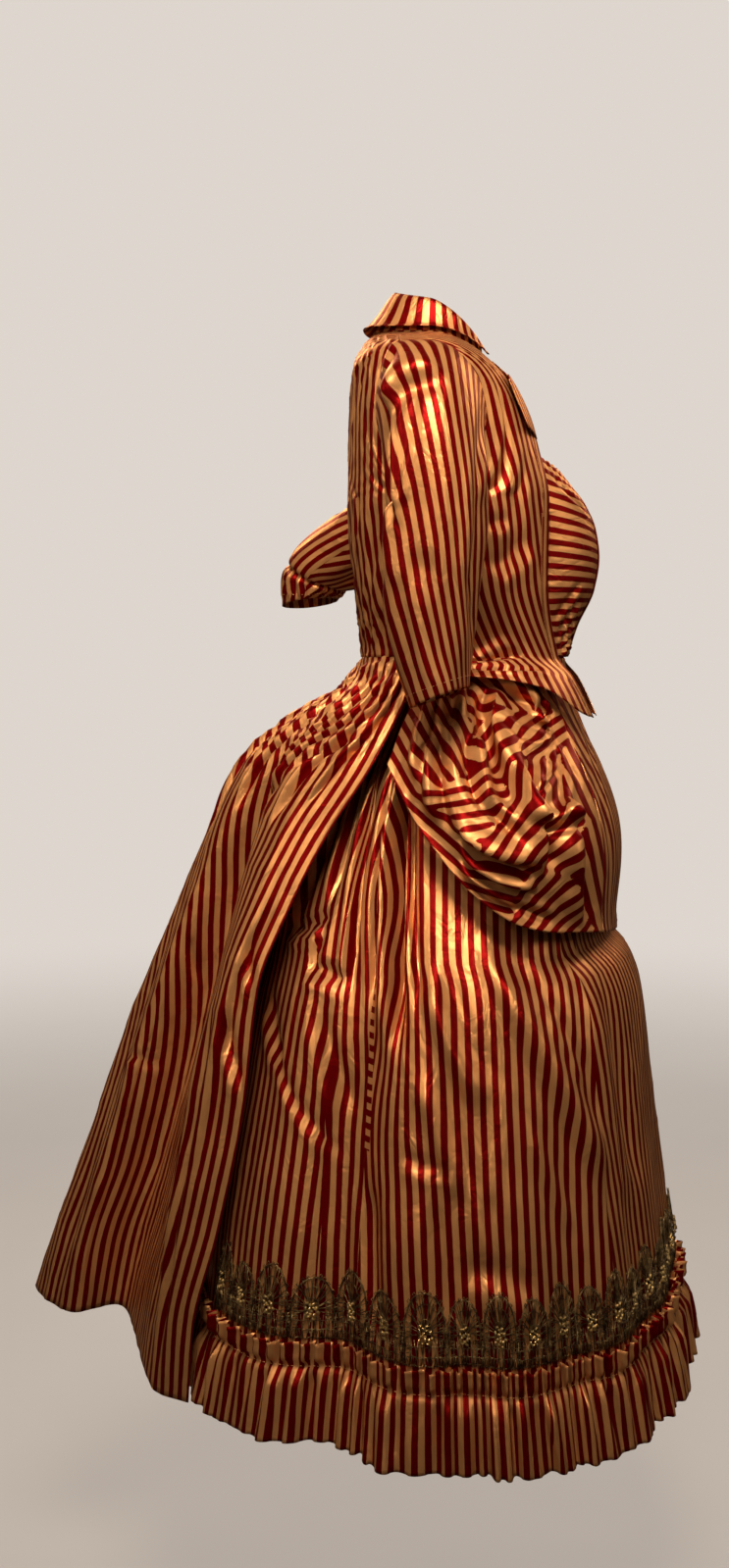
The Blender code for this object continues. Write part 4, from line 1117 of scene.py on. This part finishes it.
class DRESS_OT_collar(bpy.types.Operator):
    """Makes the rolled collar and the two lapels"""

    bl_idname = "dress.collar"
    bl_label = "Collar and lapels"

    def execute(self, context):
        u, v = grid_of(spread(190), spread(36))
        base = collar(u, v)
        s, t = lengths(base)
        grid = base
        made = cloth_piece("collar_cloth", grid, s[18:19] + 0 * s, t, ["collar"])
        for side, label in ((-1, "right"), (1, "left")):
            u, v = grid_of(spread(36), spread(18))
            grid = lapel(u, v, side)
            s, t = lengths(grid)
            across, along = slanted(s, t, LAPEL_SLANT)
            wing = cloth_piece(f"lapel_{label}_cloth", grid, across, along, [f"lapel_{label}"])
        return {"FINISHED"}


class DRESS_OT_sleeves(bpy.types.Operator):
    """Makes the two elbow sleeves"""

    bl_idname = "dress.sleeves"
    bl_label = "Sleeves"

    def execute(self, context):
        sewn = []
        for side, label in ((-1, "right"), (1, "left")):
            u, v = grid_of(spread(110, -0.5, 0.5), spread(110))
            base = sleeve(np.mod(u, 1.0), v, side)
            s, t = lengths(base)
            s = s - s[:, 55:56]
            height = 0.0012 * crumple(s, t, 0.035, 0.09, 40 + side)
            height = height + creased(u, v, SLEEVE_CREASES, 0.30, 0.42)
            height = height + creased(u, v, SLEEVE_FOLDS, 0.30, 0.42, fold_profile)
            height = height * ramp(0.5 - np.abs(u), 0.0, 0.06) * ramp(v, 0.0, 0.06)
            if side > 0:
                gathers = np.cos(2 * np.pi * (s / 0.0105 + 0.7 * noise(s / 0.02, t / 0.05, 47)))
                drawn_in = ramp(v, 0.84, 0.90) * ramp(0.985 - v, 0.0, 0.03)
                line = 0.0060 * np.exp(-(((v - 0.865) / 0.016) ** 2))
                height = height + (0.0024 * gathers * drawn_in - line) * ramp(0.5 - np.abs(u), 0.0, 0.02)
            grid = lifted(base[:, :-1], height[:, :-1], closed=True)
            grid = np.concatenate([grid, grid[:, :1]], axis=1)
            across, along = slanted(s, t, SLEEVE_SLANT)
            across = across - 0.022 * np.exp(-t / 0.030) * ramp(s, -0.015, 0.030)
            made = cloth_piece(f"sleeve_{label}_cloth", grid, across, along, [f"sleeve_{label}"], closed=True)
            sewn = sewn + stitches(lifted(grid, 0.0005 + 0 * u)[106])
        stitched("sleeve_hem_stitches", sewn, 0.00035)
        return {"FINISHED"}


class DRESS_OT_overskirt(bpy.types.Operator):
    """Makes the two side drapes and the front drape"""

    bl_idname = "dress.overskirt"
    bl_label = "Panniers and drape"

    def execute(self, context):
        gap = SEAM / 0.4
        for side, label in ((-1, "right"), (1, "left")):
            finer = 1.3 if side < 0 else 0.8
            u, v = grid_of(spread(int(120 * finer), DRAPE_SEAM + gap, 1.0), spread(int(110 * finer)))
            base = overskirt(side * u, v)
            s, t = lengths(base)
            shift = 0.0 if side < 0 else 0.02
            height = 0.0011 * crumple(s, t, 0.030, 0.045, 50 + side)
            height = height + creased(u + shift, v - shift, PANNIER_CREASES, 0.41, 0.32)
            height = height + creased(u + shift, v - shift, PANNIER_FOLDS, 0.41, 0.32, fold_profile)
            height = height * ramp(v, 0.03, 0.14) * ramp(1 - v, 0.0, 0.03) * ramp(u - DRAPE_SEAM, 0.0, 0.03)
            grid = lifted(base, height * ramp(1 - u, 0.0, 0.05))
            across = swagged(base, context.scene.dress_cloth.stripe_pair)
            made = cloth_piece(f"pannier_{label}_cloth", grid, across, t, [f"pannier_{label}"], near=True)
        u, v = grid_of(spread(90, -DRAPE_SEAM + gap, DRAPE_SEAM - gap), spread(100))
        base = overskirt(u, v)
        s, t = lengths(base)
        grid = lifted(base, 0.0014 * crumple(s, t, 0.03, 0.09, 55) * ramp(v, 0.03, 0.12))
        middle = s - s[:, 45:46]
        across = middle * (1 - 0.28 * ramp(np.abs(u), 0.06, DRAPE_SEAM))
        drape = cloth_piece("front_drape_cloth", grid, across, t, ["front_drape"])
        return {"FINISHED"}


class DRESS_OT_train(bpy.types.Operator):
    """Makes the trained back of the overskirt"""

    bl_idname = "dress.train"
    bl_label = "Train"

    def execute(self, context):
        u, v = grid_of(spread(240, -5.0, 5.0), spread(120) ** 1.15)
        base = train(u, v)
        s, t = lengths(base)
        hem = s[-1:] + 0 * s
        rib = np.abs(u)
        height = 0.0026 * crumple(hem, t, 0.045, 0.20, 60) + 0.0012 * crumple(hem, t, 0.016, 0.05, 62)
        height = height + creased(rib + 0.06 * (u > 0), v, TRAIN_CREASES, 0.15, 0.84)
        pucker = crumple(s, t, 0.014, 0.017, 66) * ramp(0.20 - v, 0.0, 0.12) * ramp(v, 0.0, 0.012)
        grid = lifted(base, (height * ramp(v, 0.0, 0.05) + 0.0046 * pucker) * ramp(5.0 - rib, 0.0, 0.12))
        tuck = lifted_out(grid[:1], -0.0035 + 0 * s[:1]) + np.array([0.0, 0.0, 0.0090])
        grid = np.concatenate([tuck, grid])
        s = np.concatenate([s[:1], s])
        t = np.concatenate([t[:1] - 0.0090, t])
        made = cloth_piece("train_cloth", grid, s, t, ["train"], gores=[(0, 120, 0), (120, 240, 240)])
        return {"FINISHED"}


class DRESS_OT_skirt(bpy.types.Operator):
    """Makes the skirt under the drapes"""

    bl_idname = "dress.skirt"
    bl_label = "Skirt"

    def execute(self, context):
        behind = spread(20, -180.0, -152.0)
        turns = np.concatenate([behind, spread(150, -151.1, -30.2), spread(130, -29.4, 180.0)])
        u, v = grid_of(turns, spread(100, 0.0, 1.0))
        down = SKIRT_ROWS[0] + (SKIRT_HEM - SKIRT_ROWS[0]) * v
        grid = skirt_cloth(u, down)
        grid[:, -1] = grid[:, 0]
        s, t = lengths(grid)
        plain = lengths(skirt(u, down))[0]
        s = smoothed(s, 14)
        meet = int(np.argmin(np.abs(turns + 90.0)))
        plain = plain + (s - plain)[:, meet : meet + 1]
        even = ramp(u, -96.0, -84.0)
        s = s * (1 - even) + plain * even
        seams = [int(np.argmin(np.abs(turns - turn))) for turn in SKIRT_SEAMS]
        gores = [(a, b, (a + b) // 2) for a, b in zip([0, *seams], [*seams, len(turns) - 1])]
        leaning = SKIRT_LEAN * (down - 0.70) * (np.abs(u + 76.0) < 40.0)
        seam, wide, top, foot = SEAM_STRIP
        start, stop = (int(np.argmin(np.abs(turns - turn))) for turn in (seam, seam + wide))
        high, low = (int(np.argmin(np.abs(down[:, 0] - place))) for place in (top, foot))
        strips = [(start, stop, high, low)]
        made = cloth_piece("underskirt_cloth", grid, s - leaning, t, ["underskirt"], True, gores, strips)
        return {"FINISHED"}


class DRESS_OT_flounce(bpy.types.Operator):
    """Makes the gathered flounce at the hem"""

    bl_idname = "dress.flounce"
    bl_label = "Flounce"

    def execute(self, context):
        phase, v = grid_of(np.linspace(0, GATHERS, 1051), spread(24))
        grid = flounce_cloth(phase, v)
        grid[:, -1] = grid[:, 0]
        s, t = lengths(grid)
        made = cloth_piece("flounce_cloth", grid, s[15:16] + 0 * s, t, ["flounce"], closed=True)
        row = int(round(GATHER_LINE * 24))
        stitched("flounce_gather_stitches", stitches(lifted_out(grid, 0.0007 + 0 * s)[row]), 0.00045)
        return {"FINISHED"}


class DRESS_OT_lace(bpy.types.Operator):
    """Makes the metal lace from its threads"""

    bl_idname = "dress.lace"
    bl_label = "Lace"

    def execute(self, context):
        threads = lace_threads()
        vertices, faces, painted_glint = tubes(threads, context.scene.dress_lace.thread / 2)
        look = material_named("tarnished_gilt_thread", metal_thread_material, context.scene.dress_lace)
        made = mesh_piece("lace_trim_threads", vertices, faces, look, ["lace_trim"])
        # Share of painted glint for each point: bright gilt colour that stands in for highlights.
        layer = made.data.attributes.new("painted_glint", "FLOAT", "POINT")
        layer.data.foreach_set("value", painted_glint.astype(np.float32))
        return {"FINISHED"}


def lace_threads():
    """Threads of every motif as a list of (points, width share, share of painted glint).

    A motif is a shell: ribs that fan out from a point above the foot, arches across them and picots round its
    edge. Beside it stand columns of short rungs, and a net of slanting threads fills the ground; the foot is
    two cords with a close row of loops. It is drawn in its own plane, x from -0.5 to 0.5 of its width and y
    from 0 at the foot to 1 at the top of its arch. Every second shell is smaller. The plane is then wrapped
    on the skirt.
    """
    lines = []
    for n, angle in enumerate(np.linspace(-100, 100, 23)):
        a = math.radians(angle)
        q = np.array([0.06, 0.30, 0.55, 0.80, 1.0])
        bend = 0.05 * (-1) ** n * np.sin(np.pi * q)
        rib = np.stack([0.46 * q * np.sin(a + bend), 0.44 + 0.52 * q * np.cos(a + bend)], axis=1)
        lines.append((rib, 1.15, 0.0))
    for share, width in ((0.34, 1.1), (0.70, 1.0), (1.0, 2.0)):
        a = np.radians(np.linspace(-112, 112, 15))
        arch = np.stack([0.46 * share * np.sin(a), 0.44 + 0.52 * share * np.cos(a)], axis=1)
        lines.append((arch, width, 0.0))
    for turn in np.linspace(-88, 88, 13):
        a = math.radians(turn)
        b = np.linspace(0, 2 * np.pi, 5)
        x = 0.48 * math.sin(a) + 0.038 * np.cos(b)
        y = 0.44 + 0.54 * math.cos(a) + 0.030 * np.sin(b)
        lines.append((np.stack([x, y], axis=1), 1.0, 0.0))
    for level, width in ((0.02, 1.6), (0.13, 1.3), (0.26, 0.9)):
        x = np.linspace(-0.5, 0.5, 9)
        lines.append((np.stack([x, level + 0.012 * np.cos(8 * np.pi * x + 40 * level)], axis=1), width, 0.0))
    for start in np.linspace(-0.5, 0.43, 8):
        x = start + np.linspace(0, 0.08, 3)
        lines.append((np.stack([x, np.array([0.00, 0.13, 0.35])], axis=1), 1.1, 0.0))
        lines.append((np.stack([x, np.array([0.35, 0.16, 0.00])], axis=1), 1.1, 0.0))
    for start in np.linspace(-0.48, 0.46, 14):
        bar = np.stack([start + np.array([0.0, 0.02, 0.0]), np.array([0.0, 0.07, 0.14])], axis=1)
        lines.append((bar, 1.0, 0.0))
    for centre in (-0.5, -0.34, 0.34):
        for k in range(8):
            x = centre + np.array([-0.06, 0.06])
            lines.append((np.stack([x, 0.16 + 0.055 * k + np.array([0.0, 0.02])], axis=1), 1.3, 0.0))
    # Painted glints: short thick strokes at the shell's centre, coloured bright gilt in place of highlights.
    for k in range(15):
        a = 2.4 * k
        x = 0.042 * k**0.5 * math.cos(a) + np.array([-0.034, 0.034]) * math.cos(3 * a)
        y = 0.42 + 0.040 * k**0.5 * math.sin(a) + np.array([-0.030, 0.030]) * math.sin(3 * a)
        lines.append((np.stack([x, y], axis=1), 3.2, 1.0))
    found = []
    for repeat in range(LACE_MOTIFS):
        small = repeat % 2
        bright = 0.5 + 0.5 * math.sin(repeat * 2.3)
        for n, (line, width, painted_glint) in enumerate(lines):
            x = line[:, 0]
            y = line[:, 1]
            tall = LACE_HEIGHT + LACE_SCALLOP - LACE_STEP * small
            if small:
                y = np.where(y > 0.3, 0.3 + (y - 0.3) * 0.90, y)
            sway = 0.030 * math.sin(repeat * 5.1 + n * 1.7)
            turn = -LACE_REACH_DEG + 2 * LACE_REACH_DEG * (repeat + 0.5 + x + sway * (y - 0.3)) / LACE_MOTIFS
            down = LACE_FOOT - tall * np.minimum(y + 0.012 * math.sin(repeat * 3.7 + n), 1.0)
            height = 0.0018 + 0.0008 * (n % 3) + 0.0022 * np.exp(-((y - 0.4) ** 2 + x**2) / 0.03)
            points_here = lifted_out(skirt_cloth(turn, down), height + 0.0012 * painted_glint)
            found.append((points_here, width, painted_glint * (0.60 + 0.40 * bright)))
    return found


def tubes(lines, radius):
    """Triangular tubes along lines of points: at each point a triangle across the line, closed at both ends.

    Gives the points, the triangles and, for each point, its share of painted glint.
    """
    all_points = []
    all_faces = []
    all_painted_glints = []
    start = 0
    for line, width, painted_glint in lines:
        count = len(line)
        along = unit(np.gradient(line, axis=0))
        out = unit(line * np.array([1.0, 1.0, 0.0]))
        side = unit(np.cross(along, out))
        top = unit(np.cross(side, along))
        size = radius * width
        ring_points = [line + size * (math.cos(a) * side + math.sin(a) * top) for a in (1.571, 3.665, 5.76)]
        all_points.append(np.stack(ring_points, axis=1).reshape(-1, 3))
        all_painted_glints.append(np.full(3 * count, painted_glint))
        k = np.arange(count - 1)[:, None] * 3 + start
        ring_index = np.arange(3)[None, :]
        beside = (ring_index + 1) % 3
        corners = [k + ring_index, k + beside, k + 3 + beside, k + 3 + ring_index]
        quads = np.stack(corners, axis=-1).reshape(-1, 4)
        first = np.concatenate([quads[:, [0, 1, 2]], quads[:, [0, 2, 3]]])
        last = start + 3 * (count - 1)
        ends = np.array([[start + 2, start + 1, start], [last, last + 1, last + 2]])
        all_faces.append(np.concatenate([first, ends]))
        start += 3 * count
    return np.concatenate(all_points), np.concatenate(all_faces), np.concatenate(all_painted_glints)


class DRESS_OT_stage(bpy.types.Operator):
    """Makes the floor, the soft lights and the camera"""

    bl_idname = "dress.stage"
    bl_label = "Stage"

    def execute(self, context):
        settings = context.scene.dress_stage
        scene = context.scene
        heading = math.radians(10.0)
        pitch = math.radians(-3.974)
        aim = Vector(
            (math.cos(heading) * math.cos(pitch), math.sin(heading) * math.cos(pitch), math.sin(pitch))
        )
        lens = bpy.data.cameras.new("photo_camera")
        lens.lens = 38.7
        lens.sensor_width = 36.0
        camera = bpy.data.objects.new("photo_camera", lens)
        camera.location = (-1.8863, -0.2437, -0.3559)
        camera.rotation_euler = aim.to_track_quat("-Z", "Y").to_euler()
        scene.collection.objects.link(camera)
        scene.camera = camera
        bpy.ops.mesh.primitive_circle_add(vertices=96, radius=7.0, fill_type="NGON", location=(0, 0, 0))
        floor = context.object
        floor.name = "floor"
        floor.data.transform(floor.matrix_world)
        floor.location = (0, 0, -settings.floor_down)
        paper = bpy.data.materials.new("matt_paper")
        paper.use_nodes = True
        tree = paper.node_tree
        shader = tree.nodes["Principled BSDF"]
        place = node(tree, "ShaderNodeTexCoord").outputs["Object"]
        grain = node(tree, "ShaderNodeTexNoise", {"Vector": place, "Scale": 3.0, "Detail": 2.0}).outputs[0]
        tone = node(tree, "ShaderNodeMapRange", {0: grain, 3: 0.97, 4: 1.03}).outputs[0]
        pale = {0: tuple(settings.floor_colour), 1: tone}
        mixed = node(tree, "ShaderNodeVectorMath", pale, operation="MULTIPLY")
        dim = {0: mixed.outputs[0], 1: (0.30, 0.32, 0.36)}
        deeper = node(tree, "ShaderNodeVectorMath", dim, operation="MULTIPLY")
        tree.links.new(deeper.outputs[0], shader.inputs["Base Color"])
        shader.inputs["Roughness"].default_value = 0.9
        reach = node(tree, "ShaderNodeVectorMath", {0: place}, operation="LENGTH").outputs["Value"]
        fade = node(tree, "ShaderNodeMapRange", {0: reach, 1: 1.6, 2: 5.0}, interpolation_type="SMOOTHSTEP")
        seen = node(tree, "ShaderNodeLightPath").outputs["Is Camera Ray"]
        tree.links.new(mixed.outputs[0], shader.inputs["Emission Color"])
        tree.links.new(math_node(tree, "MULTIPLY", seen, 0.70), shader.inputs["Emission Strength"])
        clear_paper = node(tree, "ShaderNodeBsdfTransparent").outputs[0]
        mix = node(tree, "ShaderNodeMixShader", {0: fade.outputs[0], 1: shader.outputs[0], 2: clear_paper})
        tree.links.new(mix.outputs[0], tree.nodes["Material Output"].inputs[0])
        floor.data.materials.append(paper)
        key = settings.key
        for name, place, aim_z, size, spread_deg, power, tint in (
            ("key_light", (-1.35, -0.15, 1.40), -0.14, 0.9, 54.0, key, "FFF0DC"),
            ("side_light", (-1.5, 1.8, 0.8), 0.12, 1.0, 70.0, key * 0.38, "FFEBD6"),
            ("low_light", (-1.9, 0.15, 0.10), -0.80, 0.35, 50.0, key * 0.045, "FFF0DC"),
            ("back_light", (1.9, 1.6, 1.3), -0.20, 1.2, 110.0, key * 1.6, "FFF1E0"),
            ("far_light", (1.9, -1.5, 1.2), -0.20, 1.2, 110.0, key * 0.9, "FFF1E0"),
            ("front_light", (-0.55, -2.0, 0.35), -0.20, 0.7, 70.0, key * 0.14, "FFF0DC"),
        ):
            light = bpy.data.lights.new(name, "AREA")
            light.shape = "SQUARE"
            light.size = size
            light.spread = math.radians(spread_deg)
            light.energy = power
            light.color = linear(tint)
            lamp = bpy.data.objects.new(name, light)
            lamp.location = place
            way = Vector((0, 0.05, aim_z)) - Vector(place)
            lamp.rotation_euler = way.to_track_quat("-Z", "Y").to_euler()
            scene.collection.objects.link(lamp)
        world = bpy.data.worlds.new("studio")
        world.use_nodes = True
        tree = world.node_tree
        seen = node(tree, "ShaderNodeLightPath").outputs["Is Camera Ray"]
        strength = node(tree, "ShaderNodeMapRange", {0: seen, 3: 0.07, 4: 1.0}).outputs[0]
        background = tree.nodes["Background"]
        background.inputs[0].default_value = (*linear("DED6CE"), 1.0)
        tree.links.new(strength, background.inputs[1])
        scene.world = world
        scene.view_settings.view_transform = "Standard"
        return {"FINISHED"}


class DRESS_PT_panel(bpy.types.Panel):
    """Lists the pieces and their settings"""

    bl_label = "Bustle dress"
    bl_idname = "DRESS_PT_panel"
    bl_space_type = "VIEW_3D"
    bl_region_type = "UI"
    bl_category = "Dress"

    def draw(self, context):
        for group in (context.scene.dress_cloth, context.scene.dress_lace, context.scene.dress_stage):
            for name in group.__annotations__:
                self.layout.prop(group, name)
        for step in STEPS:
            self.layout.operator(step.bl_idname)


STEPS = (
    DRESS_OT_stage,
    DRESS_OT_skirt,
    DRESS_OT_bodice,
    DRESS_OT_collar,
    DRESS_OT_sleeves,
    DRESS_OT_overskirt,
    DRESS_OT_train,
    DRESS_OT_flounce,
    DRESS_OT_lace,
)
GROUPS = (("dress_cloth", DressCloth), ("dress_lace", DressLace), ("dress_stage", DressStage))


def register():
    """Makes the settings, steps and panel known."""
    for name, group in GROUPS:
        bpy.utils.register_class(group)
        setattr(bpy.types.Scene, name, bpy.props.PointerProperty(type=group))
    for step in (*STEPS, DRESS_PT_panel):
        bpy.utils.register_class(step)


def unregister():
    """Takes them away again."""
    for step in (DRESS_PT_panel, *reversed(STEPS)):
        bpy.utils.unregister_class(step)
    for name, group in reversed(GROUPS):
        delattr(bpy.types.Scene, name)
        bpy.utils.unregister_class(group)


def main():
    """Makes everything in order."""
    register()
    for step in STEPS:
        section, name = step.bl_idname.split(".")
        getattr(getattr(bpy.ops, section), name)()


if __name__ == "__main__":
    main()
